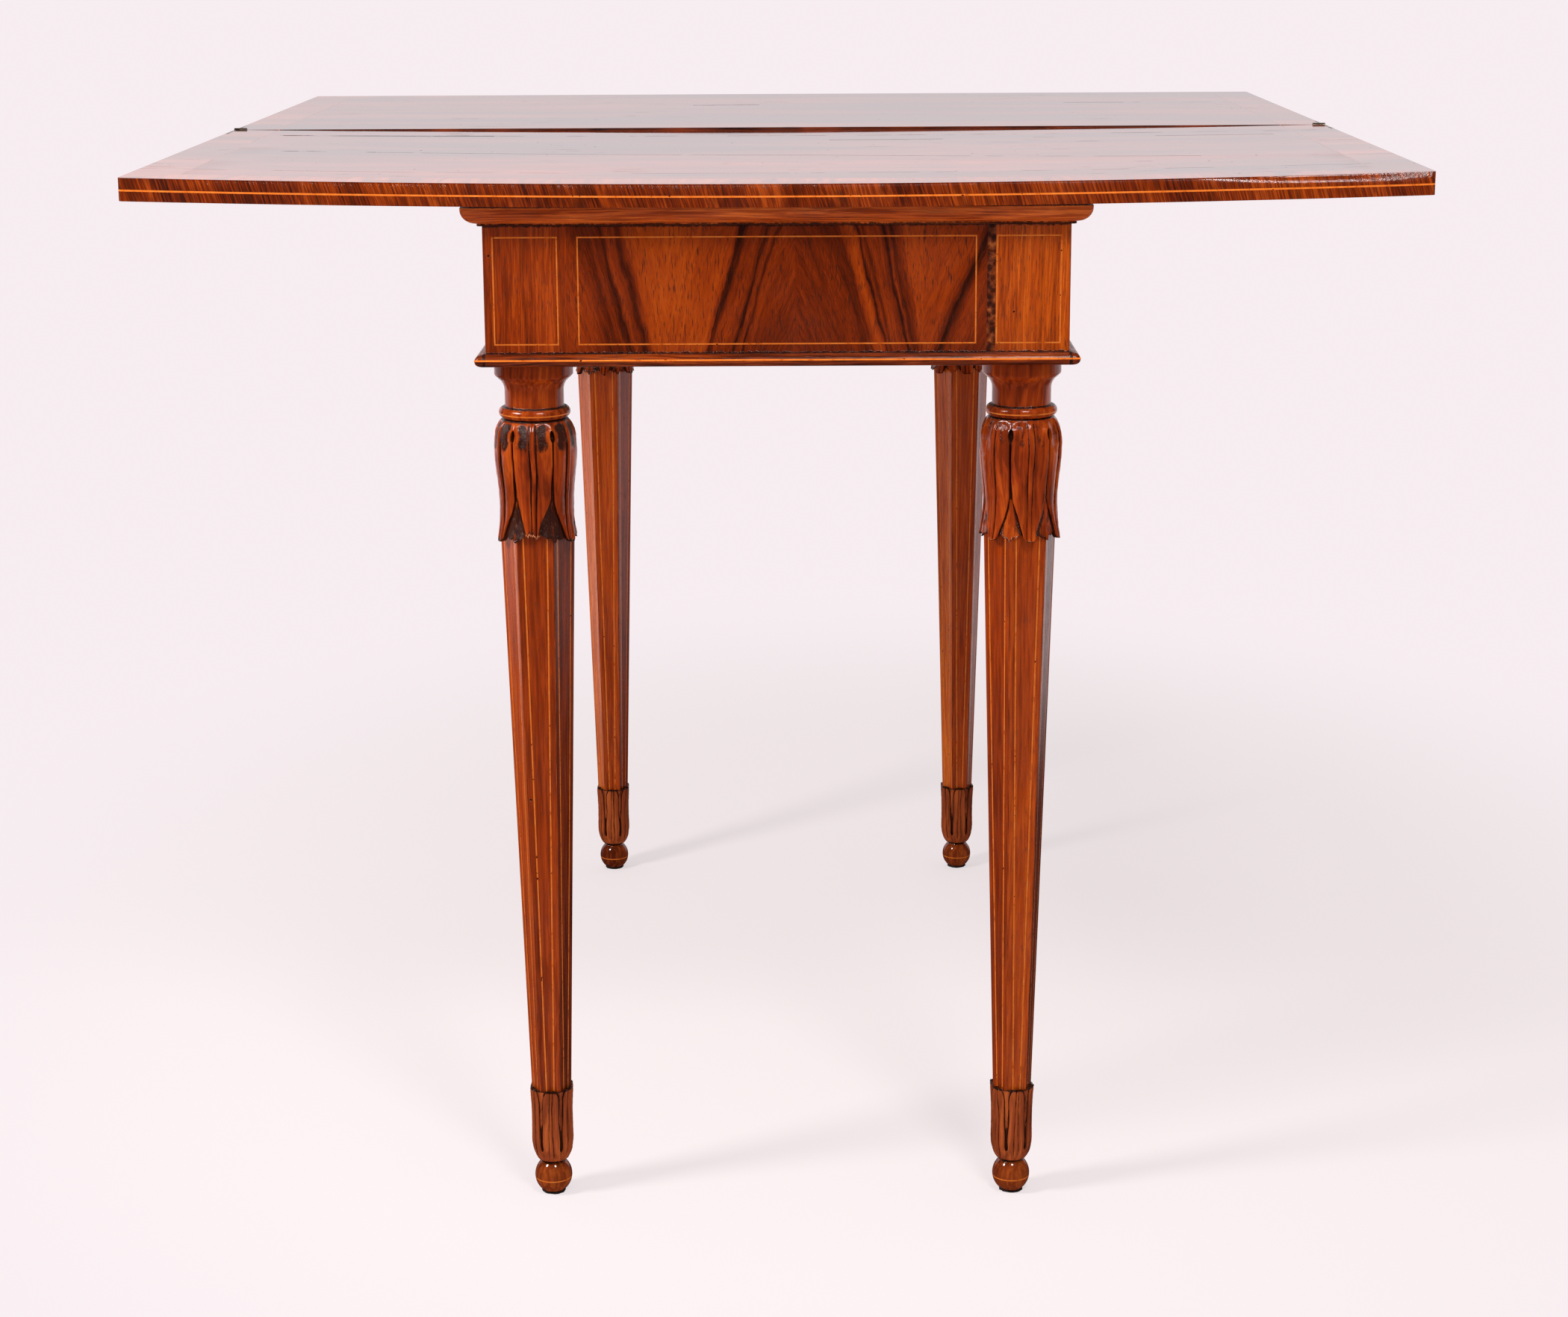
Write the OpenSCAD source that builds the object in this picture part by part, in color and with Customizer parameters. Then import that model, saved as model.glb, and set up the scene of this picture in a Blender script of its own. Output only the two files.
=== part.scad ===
// Fold-over card table on six-sided legs, drawn with its top open and turned across the frame.
// X runs along the hinge line, Y away from the front, Z up, in millimetres. The origin is on the
// floor under the middle of the frame, and the sizes below drive everything else.

/* [Leaves] */
// Length of a leaf along the hinge line
leaf_w = 900; // [800:5:1000]
// Depth of a leaf from the hinge line to its outer edge
leaf_d = 450; // [420:5:500]
// Thickness of a leaf
leaf_t = 16; // [15:0.5:20]
// Sag of the swivelling leaf at the middle of its length
leaf_bow = 6.3; // [3:0.1:9]
// Radius of the upright outer corners of a leaf
leaf_corner_r = 3; // [2:0.5:6]
// Gap between the two leaves at the hinge line
leaf_gap = 0.3; // [0.2:0.1:0.6]
// Overhang of the closed top past the frame on every side
overhang = 21; // [18:1:30]
// Width of the crossbanding round the top
band_w = 36; // [25:1:60]
// Thickness of the crossbanding
band_t = 1; // [0.8:0.1:1.5]
// Width of the string lines in the leaves
leaf_string_w = 1.2; // [0.8:0.1:2]
// Depth of the edge string's middle below the top face
edge_string_drop = 8.6; // [6:0.1:10]

/* [Hinges] */
// Length of a hinge plate along the end of the leaf
hinge_l = 45; // [38:1:60]
// Height of a hinge plate
hinge_h = 12; // [10:0.5:13]
// Thickness of a hinge plate
hinge_t = 2.5; // [2:0.1:3]
// Outer diameter of the knuckle
knuckle_d = 5; // [4:0.2:6]
// Length of the knuckle, both halves together
knuckle_l = 10; // [8:0.5:14]
// Diameter of the hinge pin
pin_d = 2; // [1.4:0.1:2.6]
// Height of the pin over the top faces
pin_lift = 0.15; // [0.1:0.05:0.3]
// Thickness of the lug that carries the inner half of the knuckle
lug_t = 2.8; // [2:0.1:4]
// Diameter of a hinge screw's shank
hinge_screw_d = 3; // [2:0.1:3.5]
// Length of a hinge screw
hinge_screw_l = 18; // [12:1:25]
// Distance of the first hinge screw from the hinge line
hinge_screw_first = 14; // [10:1:16]
// Distance between the two screws of a plate
hinge_screw_pitch = 20; // [14:1:20]
// Height of a screw's countersunk head
screw_head_h = 1.6; // [1:0.1:1.8]
// Width of the slot in a screw's head
screw_slot_w = 0.6; // [0.4:0.1:1]
// Depth of the slot in a screw's head
screw_slot_deep = 0.5; // [0.3:0.1:0.8]

/* [Pivot] */
// Diameter of the pivot stud
stud_d = 14; // [10:1:18]
// Diameter of the stud's flange
flange_d = 56; // [50:1:64]
// Thickness of the stud's flange
flange_t = 4; // [3:0.5:5]
// Diameter of the circle of flange screws
flange_pcd = 38; // [34:1:40]
// Diameter of a flange screw's shank
flange_screw_d = 4; // [3:0.5:5]
// Length of a flange screw
flange_screw_l = 11; // [9:0.5:12]
// Outer diameter of the pivot washer
washer_d = 34; // [28:1:44]
// Thickness of the pivot washer
washer_t = 2.5; // [1.5:0.5:4]
// Width of the pivot nut across its flats
nut_w = 24; // [21:1:30]
// Height of the pivot nut
nut_h = 10; // [8:1:14]
// Diameter of the stop peg under the swivelling leaf
peg_d = 12; // [8:1:16]
// Length of the stop peg below the leaf
peg_drop = 20; // [14:1:26]
// Depth of the stop peg in the leaf
peg_set = 8; // [5:1:9]

/* [Frame] */
// Height of the frame's face between its mouldings
panel_h = 89; // [70:1:120]
// Thickness of an apron
apron_t = 22; // [18:1:26]
// Width of a square corner post
post_w = 58; // [54:1:70]
// Height of the top moulding
top_mould_h = 13.4; // [12:0.2:18]
// Projection of the top moulding
top_mould_out = 14; // [10:0.5:16]
// Radius of the top moulding's quarter round
ovolo_r = 10.5; // [7:0.5:11]
// Height of the flat lip over the top moulding's quarter round
top_lip_h = 1.1; // [0.6:0.1:1.5]
// Height of the bottom moulding
bottom_mould_h = 9; // [8:0.5:14]
// Projection of the bottom moulding
bottom_mould_out = 7.5; // [6:0.5:12]
// Radius of the bottom moulding's nose
nose_r = 4; // [3:0.25:4.75]
// Height of the bottom moulding's string line over the nose's middle
mould_string_over = 0.9; // [0:0.1:1.5]
// Width of the string line in the bottom moulding
mould_string_w = 1.1; // [0.8:0.1:1.6]
// Thickness of an apron's tenon
tenon_t = 8; // [6:0.5:10]
// Length of an apron's tenon
tenon_l = 18; // [12:1:18]
// Shoulder above and below an apron's tenon
tenon_shoulder = 12; // [8:1:20]
// Width of the string lines on the frame
frame_string_w = 1; // [0.8:0.1:1.6]
// Inset of a string line from the sides of a post
post_string_in = 6.3; // [4:0.1:10]
// Inset of a string line from the ends of an apron
panel_string_in = 7.2; // [4:0.1:14]
// Inset of the string lines below the top moulding
string_in_top = 7.8; // [4:0.1:12]
// Inset of the string lines above the bottom moulding
string_in_bottom = 5.7; // [4:0.1:12]
// Depth of every inlaid string line
string_depth = 0.8; // [0.6:0.1:1.2]
// Width left between the darker repair strip on the front right post and the string line
patch_gap = 0.4; // [0.2:0.1:2]
// Thickness of the board under the card well
board_t = 8; // [6:0.5:12]
// Height of the card well's board over the frame's lower edge
board_up = 20; // [18:1:30]
// Depth of the board's groove in the aprons
board_groove = 6; // [4:0.5:10]
// Width of the cross rail that holds the pivot
rail_w = 90; // [70:1:110]
// Thickness of the cross rail
rail_t = 28; // [22:1:34]
// Depth of the cross rail's housing in the long aprons
rail_housing = 8; // [5:1:12]
// Side of a triangular glue block
block_side = 17; // [12:1:17]
// Length of a glue block
block_l = 60; // [40:1:80]
// Distance from a post to the glue block next to it on a long side
block_in = 57; // [20:1:80]

/* [Legs] */
// Height of a leg from the floor to the frame
leg_h = 634; // [520:1:680]
// Inset of a leg's axis from the frame's faces
leg_inset = 30.8; // [30:0.1:34]
// Turn of each leg on its own axis: front left, front right, rear left, rear right
leg_turn = [0, 11, 0, 8];
// Diameter of the collar under the frame
collar_d = 56; // [52:1:60]
// Height of the collar
collar_h = 10; // [7:0.5:14]
// Bevel under the collar
collar_bevel = 2.5; // [1.5:0.1:4]
// Diameter of the neck
neck_d = 42; // [38:1:44]
// Flare of the neck's radius under the collar
neck_flare = 4; // [2:0.5:5]
// Height of that flare
neck_flare_h = 8.5; // [6:0.5:12]
// Height of the neck
neck_h = 22.5; // [16:0.5:28]
// Diameter of the ring under the neck
ring_d = 51; // [48:1:54]
// Height of the ring
ring_h = 8; // [6:0.5:9]
// Height of the carved bell, with its leaf tips
bell_h = 88.5; // [80:0.5:110]
// Diameter of the bell at its shoulder
bell_d = 59.5; // [56:0.5:62]
// Drop from the ring to the bell's shoulder
bell_rise = 19.5; // [14:0.5:24]
// Diameter of the bell at its waist
waist_d = 53.4; // [52:0.2:55]
// Drop from the ring to the bell's waist
waist_drop = 62; // [56:0.5:70]
// Diameter of the bell across its leaf tips
lip_d = 60; // [59:0.5:63]
// Depth of the carved slots in the bell
carve_d = 2; // [1:0.1:3]
// Width of the eye at the top of each slot
eye_d = 4.2; // [3:0.1:6]
// Height of that eye
eye_h = 9; // [6.5:0.5:11]
// Drop from the ring to the eye's middle
eye_drop = 11; // [8:0.5:16]
// Width of a slot between two carved leaves
bell_slot_w = 1.8; // [1:0.1:2.5]
// Drop from the ring to where the slots open
split_drop = 57; // [48:0.5:62]
// Width of an open slot at the leaf tips
bell_tip_gap = 13.2; // [10:0.2:15]
// Width of a notch between two leaf tips
tip_notch_w = 7; // [5:0.2:8]
// Height of a notch between two leaf tips
tip_notch_h = 9.6; // [7:0.2:9.8]
// Depth of the shaft's seat above the lowest leaf tips
bell_seat = 10; // [10:0.5:13]
// Width of the shaft across its flats at the top
shaft_top_w = 46.4; // [44:0.1:47]
// Width of the shaft across its flats at the foot
shaft_foot_w = 25.6; // [24:0.1:26.5]
// Inset of a string line from the edge of a facet
facet_string_in = 4.2; // [3:0.1:5]
// Width of the string lines on the shaft
shaft_string_w = 1; // [0.8:0.1:1.4]
// Height of the carved foot cup
cup_h = 60; // [56:0.5:80]
// Diameter of the foot cup at its rim
cup_rim_d = 33.4; // [33:0.2:36]
// Diameter of the foot cup at its belly
cup_belly_d = 31.5; // [31:0.5:34]
// Diameter of the foot cup between belly and rim
cup_waist_d = 30.8; // [30:0.2:31]
// Diameter of the foot cup at its foot
cup_foot_d = 17; // [16:0.5:21]
// Height of the belly above the cup's foot
cup_belly_up = 18.5; // [16:0.5:30]
// Depth of the shaft's seat below the cup's rim
cup_seat = 6; // [5:0.5:7]
// Depth of the carved slots in the cup
cup_carve_d = 1.5; // [1:0.1:2]
// Height of a slot's eye above the cup's foot
cup_eye_up = 9.6; // [8:0.2:14]
// Diameter of a slot's eye
cup_eye_d = 2.4; // [1.8:0.1:3]
// Width of a slot between two leaves of the cup
cup_slot_w = 1.4; // [1:0.1:1.8]
// Width of a slot where it opens under the rim
cup_slot_top_w = 4.4; // [3:0.1:6]
// Height of the opening of a slot
cup_slot_open = 6; // [4:0.5:9]
// Width of a notch in the rim
rim_notch_w = 5.2; // [4:0.1:6]
// Depth of a notch in the rim
rim_notch_h = 4.2; // [3:0.1:4.8]
// Diameter of the ball foot
ball_d = 28; // [26:0.5:32]
// Radius of the ball's outline, a little flatter than a true ball
ball_arc_r = 15.2; // [15:0.1:17]
// Height of the ball's middle over the floor
ball_up = 13.5; // [11.5:0.5:14]
// Height of the cup's foot over the floor
cup_up = 26; // [22:0.5:27]
// Height of the string line round the ball
ball_string_up = 12; // [8:0.5:15]
// Diameter of the pad under a foot
pad_d = 18; // [14:0.5:20]
// Thickness of the pad under a foot
pad_t = 1.5; // [1:0.1:3]
// Diameter of the dowel between a leg and its post
dowel_d = 20; // [14:1:22]
// Depth of that dowel in the leg, and in the post
dowel_set = 40; // [30:1:50]
// Diameter of the shaft's upper tenon
top_tenon_d = 22; // [16:1:26]
// Length of the shaft's upper tenon
top_tenon_l = 34; // [24:1:40]
// Diameter of the shaft's lower tenon
foot_tenon_d = 12; // [9:1:14]
// Length of the shaft's lower tenon
foot_tenon_l = 24; // [16:1:28]
// Diameter of the ball's tenon
ball_tenon_d = 9; // [7:0.5:10]
// Length of the ball's tenon
ball_tenon_l = 16; // [12:1:20]

/* [Fits] */
// Clearance of the swivelling leaf over the frame
top_clear = 0.3; // [0.2:0.1:0.8]
// Clearance between the stop peg and the cross rail at each end of the turn
peg_clear = 0.3; // [0.2:0.1:0.5]
// Running clearance round the pivot stud and the hinge pins
run_clear = 0.06; // [0.04:0.01:0.1]
// Clearance of glued and screwed joints
glue_clear = 0.05; // [0.03:0.01:0.1]

/* [Hidden] */

$fn = 96;
past = 1;

walnut = [0.50, 0.20, 0.07];
walnut_light = [0.60, 0.28, 0.10];
walnut_dark = [0.32, 0.13, 0.06];
boxwood = [0.93, 0.55, 0.20];
oak = [0.66, 0.47, 0.28];
brass = [0.72, 0.56, 0.28];
iron = [0.30, 0.29, 0.28];
felt = [0.10, 0.09, 0.08];

frame_w = leaf_d - 2 * overhang;
frame_len = leaf_w - 2 * overhang;
panel_z = leg_h + bottom_mould_h;
panel_top = panel_z + panel_h;
frame_top = panel_top + top_mould_h;
top_z = frame_top + top_clear + leaf_bow + leaf_t;
pin_z = top_z + pin_lift;
leaf_low = frame_top + top_clear;
board_z = leg_h + board_up;
rail_z = frame_top - rail_t;

// The turned top lies over the frame's middle when it closes, which fixes the pivot
pivot = [-leaf_d / 4, -leaf_d / 4];
bow_steps = 24;
mitre_gap = 0.1;
knuckle_clear = 0.3;
lug_back = 0.4;
peg_reach = (rail_w / 2 + peg_d / 2 + peg_clear) * sqrt(2);
peg_at = [pivot[0] + peg_reach / sqrt(2), pivot[1] + peg_reach / sqrt(2)];
stud_foot = 3;
nose_end = 60;
carve_fade = 1;
ball_string_sink = 0.2;
tip_turn = 15;

collar_z = leg_h - collar_h;
neck_z = collar_z - neck_h;
ring_z = neck_z - ring_h;
bell_foot = ring_z - bell_h;
shaft_top = bell_foot + bell_seat;
cup_top = cup_up + cup_h;
shaft_foot = cup_top - cup_seat;
shaft_len = shaft_top - shaft_foot;
shaft_lean = atan((shaft_top_w - shaft_foot_w) / 2 / shaft_len);
facet_len = shaft_len / cos(shaft_lean);
neck_arc_r = (neck_flare * neck_flare + neck_flare_h * neck_flare_h) / (2 * neck_flare);
flare_z = collar_z - collar_bevel - neck_flare_h;
curve_steps = 8;
leg_ids = [0, 1, 2, 3];

function leg_at(i) = [(i % 2 == 0 ? -1 : 1) * (frame_w / 2 - leg_inset),
    (i < 2 ? -1 : 1) * (frame_len / 2 - leg_inset)];

// Height of a leaf's top face at x, for a leaf that sags by bow
function face_z(x, bow) = top_z - bow * (1 - pow(2 * x / leaf_w, 2));

// A layer of a leaf from one depth below its top face to another, seen along Y
module leaf_layer(bow, from, to) {
    xs = [for (i = [0 : bow_steps]) leaf_w * (i / bow_steps - 0.5)];
    polygon(concat([for (x = xs) [x, face_z(x, bow) - from]],
        [for (i = [bow_steps : -1 : 0]) [xs[i], face_z(xs[i], bow) - to]]));
}

// Plan of the folding leaf drawn in from its three outer sides
module leaf_plan(inset) {
    r = max(leaf_corner_r - inset, 0);
    half = leaf_w / 2 - inset;
    back = leaf_d - inset;
    translate([-half, leaf_gap / 2])
        square([2 * half, back - r - leaf_gap / 2]);
    translate([r - half, leaf_gap / 2])
        square([2 * (half - r), back - leaf_gap / 2]);
    if (r > 0)
        for (side = [-1, 1])
            translate([side * (half - r), back - r])
                circle(r);
}

// The part of a leaf's layer that lies between two insets of its plan
module leaf_ring(bow, from, to, outer, inner) {
    intersection() {
        translate([0, leaf_d + past, 0])
            rotate([90, 0, 0])
                linear_extrude(leaf_d + 2 * past)
                    leaf_layer(bow, from, to);
        translate([0, 0, top_z - leaf_bow - 2 * leaf_t])
            linear_extrude(leaf_bow + 4 * leaf_t)
                difference() {
                    leaf_plan(outer);
                    leaf_plan(inner);
                }
    }
}

module leaf_slab(bow) {
    intersection() {
        translate([0, leaf_d + past, 0])
            rotate([90, 0, 0])
                linear_extrude(leaf_d + 2 * past)
                    leaf_layer(bow, 0, leaf_t);
        translate([0, 0, top_z - leaf_bow - 2 * leaf_t])
            linear_extrude(leaf_bow + 4 * leaf_t)
                leaf_plan(0);
    }
}

// Everything of the hinges that is let into a leaf
module hinge_pockets(with_lug) {
    for (side = [-1, 1])
        scale([side, 1, 1]) {
            translate([leaf_w / 2 - hinge_t, leaf_gap / 2 - past, top_z - hinge_h])
                cube([hinge_t + past, hinge_l + past, hinge_h + past]);
            translate([leaf_w / 2 - knuckle_l - knuckle_clear, 0, pin_z])
                rotate([0, 90, 0])
                    cylinder(r = knuckle_d / 2 + knuckle_clear,
                        h = knuckle_l + knuckle_clear + past);
            if (with_lug)
                translate([leaf_w / 2 - knuckle_l, leaf_gap / 2 - past, top_z - hinge_h])
                    cube([knuckle_l, lug_t + lug_back + past - leaf_gap / 2, hinge_h + past]);
        }
}

module hinge_screw_places() {
    for (side = [-1, 1])
        for (i = [0, 1])
            translate([side * leaf_w / 2, hinge_screw_first + i * hinge_screw_pitch,
                    top_z - hinge_h / 2])
                rotate([0, -side * 90, 0])
                    children();
}

// A countersunk screw along +Z from its head's face, wider by clear
module screw_body(d, l, clear) {
    cylinder(r1 = d + clear, r2 = d / 2 + clear, h = screw_head_h);
    cylinder(r = d / 2 + clear, h = l);
}

module slotted_screw(d, l) {
    difference() {
        screw_body(d, l, 0);
        translate([-d, -screw_slot_w / 2, -past])
            cube([2 * d, screw_slot_w, past + screw_slot_deep]);
    }
}

module flange_screw_places() {
    for (i = [0 : 3])
        translate([pivot[0], pivot[1], leaf_low])
            rotate([0, 0, 90 * i + 45])
                translate([flange_pcd / 2, 0, 0])
                    children();
}

// Strings along the outer sides of a leaf: one on the face, one on the edge
module leaf_strings(bow) {
    difference() {
        union() {
            leaf_ring(bow, 0, string_depth, band_w, band_w + leaf_string_w);
            leaf_ring(bow, edge_string_drop - leaf_string_w / 2,
                edge_string_drop + leaf_string_w / 2, 0, string_depth);
        }
        hinge_pockets(false);
        mitre_cuts();
    }
}

// The saw cuts that part mitred strips at the leaf's outer corners
module mitre_cuts() {
    for (side = [-1, 1])
        translate([side * leaf_w / 2, leaf_d, top_z])
            rotate([0, 0, -side * 45])
                cube([mitre_gap, 4 * band_w, 4 * leaf_t], center = true);
}

// Crossbanding in three mitred strips
module leaf_banding(bow, with_lug) {
    difference() {
        leaf_ring(bow, 0, band_t, 0, band_w);
        hinge_pockets(with_lug);
        mitre_cuts();
    }
}

// The grooves for the strings and the rebate for the banding are cut past the faces
module leaf_board(bow, with_lug) {
    difference() {
        leaf_slab(bow);
        leaf_ring(bow, -past, band_t, -past, band_w);
        leaf_ring(bow, -past, string_depth, band_w - past, band_w + leaf_string_w);
        leaf_ring(bow, edge_string_drop - leaf_string_w / 2,
            edge_string_drop + leaf_string_w / 2, -past, string_depth);
        hinge_pockets(with_lug);
        hinge_screw_places()
            screw_body(hinge_screw_d, hinge_screw_l, glue_clear);
    }
}

// The swivelling leaf is the folding leaf's shape turned about the hinge line
module front_side() {
    mirror([0, 1, 0])
        children();
}

module fixed_leaf() {
    color(walnut)
        difference() {
            front_side()
                leaf_board(leaf_bow, true);
            translate([pivot[0], pivot[1], leaf_low - past])
                cylinder(r = flange_d / 2 + glue_clear, h = flange_t + past);
            flange_screw_places()
                screw_body(flange_screw_d, flange_screw_l, glue_clear);
            translate([peg_at[0], peg_at[1], leaf_low - past])
                cylinder(r = peg_d / 2 + glue_clear, h = peg_set + past);
        }
}

module fixed_leaf_banding() {
    color(walnut_dark)
        front_side()
            leaf_banding(leaf_bow, true);
}

module fixed_leaf_stringing() {
    color(boxwood)
        front_side()
            leaf_strings(leaf_bow);
}

module folding_leaf() {
    color(walnut)
        leaf_board(0, false);
}

module folding_leaf_banding() {
    color(walnut_dark)
        leaf_banding(0, false);
}

module folding_leaf_stringing() {
    color(boxwood)
        leaf_strings(0);
}

module hinge_plate_blank() {
    difference() {
        translate([leaf_w / 2 - hinge_t, leaf_gap / 2, top_z - hinge_h])
            cube([hinge_t, hinge_l - leaf_gap / 2, hinge_h]);
        hinge_screw_places()
            screw_body(hinge_screw_d, hinge_screw_l, glue_clear);
    }
}

module knuckle_half(from, to, r) {
    translate([leaf_w / 2 - from, 0, pin_z])
        rotate([0, 90, 0])
            cylinder(r = r, h = from - to);
}

// Right-hand plates. The outer half of the knuckle belongs to the folding leaf, the inner half
// to the swivelling leaf, whose plate carries it on a lug bent inwards.
module folding_plate() {
    difference() {
        union() {
            hinge_plate_blank();
            knuckle_half(knuckle_l / 2 - run_clear / 2, 0, knuckle_d / 2);
        }
        knuckle_half(knuckle_l + past, -past, pin_d / 2 + run_clear);
    }
}

module fixed_plate() {
    difference() {
        union() {
            hinge_plate_blank();
            translate([leaf_w / 2 - knuckle_l, lug_back, top_z - hinge_h])
                cube([knuckle_l, lug_t, hinge_h]);
            knuckle_half(knuckle_l, knuckle_l / 2 + run_clear / 2, knuckle_d / 2);
        }
        knuckle_half(knuckle_l / 2 + run_clear / 2, -past, knuckle_d / 2 + knuckle_clear);
        knuckle_half(knuckle_l + past, -past, pin_d / 2);
    }
}

module left_of_table() {
    mirror([1, 0, 0])
        children();
}

module fixed_hinge_plate_right() {
    color(brass)
        front_side()
            fixed_plate();
}

module fixed_hinge_plate_left() {
    color(brass)
        left_of_table()
            front_side()
                fixed_plate();
}

module folding_hinge_plate_right() {
    color(brass)
        folding_plate();
}

module folding_hinge_plate_left() {
    color(brass)
        left_of_table()
            folding_plate();
}

module fixed_hinge_screws() {
    color(brass)
        front_side()
            hinge_screw_places()
                slotted_screw(hinge_screw_d, hinge_screw_l);
}

module folding_hinge_screws() {
    color(brass)
        hinge_screw_places()
            slotted_screw(hinge_screw_d, hinge_screw_l);
}

module hinge_pins() {
    color(iron)
        for (side = [-1, 1])
            translate([side * (leaf_w - knuckle_l) / 2, 0, pin_z])
                rotate([0, 90, 0])
                    cylinder(r = pin_d / 2, h = knuckle_l, center = true);
}

// Washer and nut hang on the stud under the cross rail and turn with the leaf
washer_z = rail_z - top_clear - washer_t;
nut_z = washer_z - nut_h;

module pivot_stud() {
    color(iron)
        translate([pivot[0], pivot[1], 0])
            difference() {
                union() {
                    translate([0, 0, leaf_low])
                        cylinder(r = flange_d / 2, h = flange_t);
                    translate([0, 0, nut_z - stud_foot])
                        cylinder(r = stud_d / 2, h = leaf_low - nut_z + stud_foot);
                }
                translate([-pivot[0], -pivot[1], 0])
                    flange_screw_places()
                        screw_body(flange_screw_d, flange_screw_l, glue_clear);
            }
}

module pivot_screws() {
    color(iron)
        flange_screw_places()
            slotted_screw(flange_screw_d, flange_screw_l);
}

module pivot_washer() {
    color(iron)
        translate([pivot[0], pivot[1], washer_z])
            difference() {
                cylinder(r = washer_d / 2, h = washer_t);
                translate([0, 0, -past])
                    cylinder(r = stud_d / 2 + glue_clear, h = washer_t + 2 * past);
            }
}

module pivot_nut() {
    color(iron)
        translate([pivot[0], pivot[1], nut_z])
            difference() {
                cylinder(r = nut_w / 2 / cos(30), h = nut_h, $fn = 6);
                translate([0, 0, -past])
                    cylinder(r = stud_d / 2 + glue_clear, h = nut_h + 2 * past);
            }
}

// The peg meets the rear face of the cross rail at both ends of the quarter turn
module stop_peg() {
    color(oak)
        translate([peg_at[0], peg_at[1], leaf_low - peg_drop])
            cylinder(r = peg_d / 2, h = peg_drop + peg_set - glue_clear);
}

// Side i of the frame: 0 front, 1 right, 2 rear, 3 left. Its outer face is the plane y = 0,
// with the inside of the frame towards +Y.
function side_run(i) = i % 2 == 0 ? frame_w : frame_len;
function side_out(i) = i % 2 == 0 ? frame_len : frame_w;

module on_side(i) {
    rotate([0, 0, 90 * i])
        translate([0, -side_out(i) / 2, 0])
            children();
}

// One rectangle of string line, sunk to a depth from the face and standing over by over
module string_rect(w, z0, z1, over) {
    translate([0, string_depth, 0])
        rotate([90, 0, 0])
            linear_extrude(string_depth + over)
                difference() {
                    translate([-w / 2, z0])
                        square([w, z1 - z0]);
                    translate([frame_string_w - w / 2, z0 + frame_string_w])
                        square([w - 2 * frame_string_w, z1 - z0 - 2 * frame_string_w]);
                }
}

module post_strings(i, over) {
    for (end = [-1, 1])
        translate([end * (side_run(i) - post_w) / 2, 0, 0])
            string_rect(post_w - 2 * post_string_in, panel_z + string_in_bottom,
                panel_top - string_in_top, over);
}

module panel_string(i, over) {
    string_rect(side_run(i) - 2 * post_w - 2 * panel_string_in, panel_z + string_in_bottom,
        panel_top - string_in_top, over);
}

module frame_stringing() {
    color(boxwood)
        for (i = [0 : 3])
            on_side(i) {
                post_strings(i, 0);
                panel_string(i, 0);
            }
}

module tenons(i, clear) {
    l = side_run(i) - 2 * post_w + 2 * tenon_l + 2 * clear;
    translate([-l / 2, (apron_t - tenon_t) / 2 - clear, leg_h + tenon_shoulder - clear])
        cube([l, tenon_t + 2 * clear, frame_top - leg_h - 2 * tenon_shoulder + 2 * clear]);
}

module apron(i) {
    l = side_run(i) - 2 * post_w;
    difference() {
        union() {
            translate([-l / 2, 0, leg_h])
                cube([l, apron_t, frame_top - leg_h]);
            tenons(i, 0);
        }
        panel_string(i, past);
        translate([-l / 2 - past, apron_t - board_groove, board_z])
            cube([l + 2 * past, board_groove + past, board_t]);
    }
}

module long_apron(i) {
    difference() {
        on_side(i)
            apron(i);
        rail_space(0);
    }
}

module apron_front() {
    color(walnut)
        on_side(0)
            apron(0);
}

module apron_rear() {
    color(walnut)
        on_side(2)
            apron(2);
}

module apron_right() {
    color(walnut)
        long_apron(1);
}

module apron_left() {
    color(walnut)
        long_apron(3);
}

module leg_dowel(i, clear) {
    translate([leg_at(i)[0], leg_at(i)[1], leg_h - dowel_set - clear])
        cylinder(r = dowel_d / 2 + clear, h = 2 * dowel_set + 2 * clear);
}

module patch_space(over) {
    on_side(0)
        translate([frame_w / 2 - post_w, -over, panel_z])
            cube([post_string_in - patch_gap, string_depth + over, panel_h]);
}

// Leg and post i: 0 front left, 1 front right, 2 rear left, 3 rear right
module post(i) {
    sx = i % 2 == 0 ? -1 : 1;
    sy = i < 2 ? -1 : 1;
    color(walnut_light)
        difference() {
            translate([sx * (frame_w - post_w) / 2, sy * (frame_len - post_w) / 2,
                    (leg_h + frame_top) / 2])
                cube([post_w, post_w, frame_top - leg_h], center = true);
            for (k = [0 : 3])
                on_side(k) {
                    tenons(k, glue_clear);
                    post_strings(k, past);
                }
            leg_dowel(i, glue_clear);
            if (i == 1)
                patch_space(past);
        }
}

module post_front_left() {
    post(0);
}

module post_front_right() {
    post(1);
}

module post_rear_left() {
    post(2);
}

module post_rear_right() {
    post(3);
}

module veneer_patch() {
    color(walnut_dark)
        patch_space(0);
}

// Outline of the top moulding: u outwards from the frame, v up from the moulding's foot
module top_outline() {
    square([top_mould_out - ovolo_r, top_mould_h]);
    translate([0, top_mould_h - top_lip_h])
        square([top_mould_out, top_lip_h]);
    intersection() {
        translate([top_mould_out - ovolo_r, top_mould_h - top_lip_h])
            circle(ovolo_r);
        square([top_mould_out, top_mould_h]);
    }
}

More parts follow.
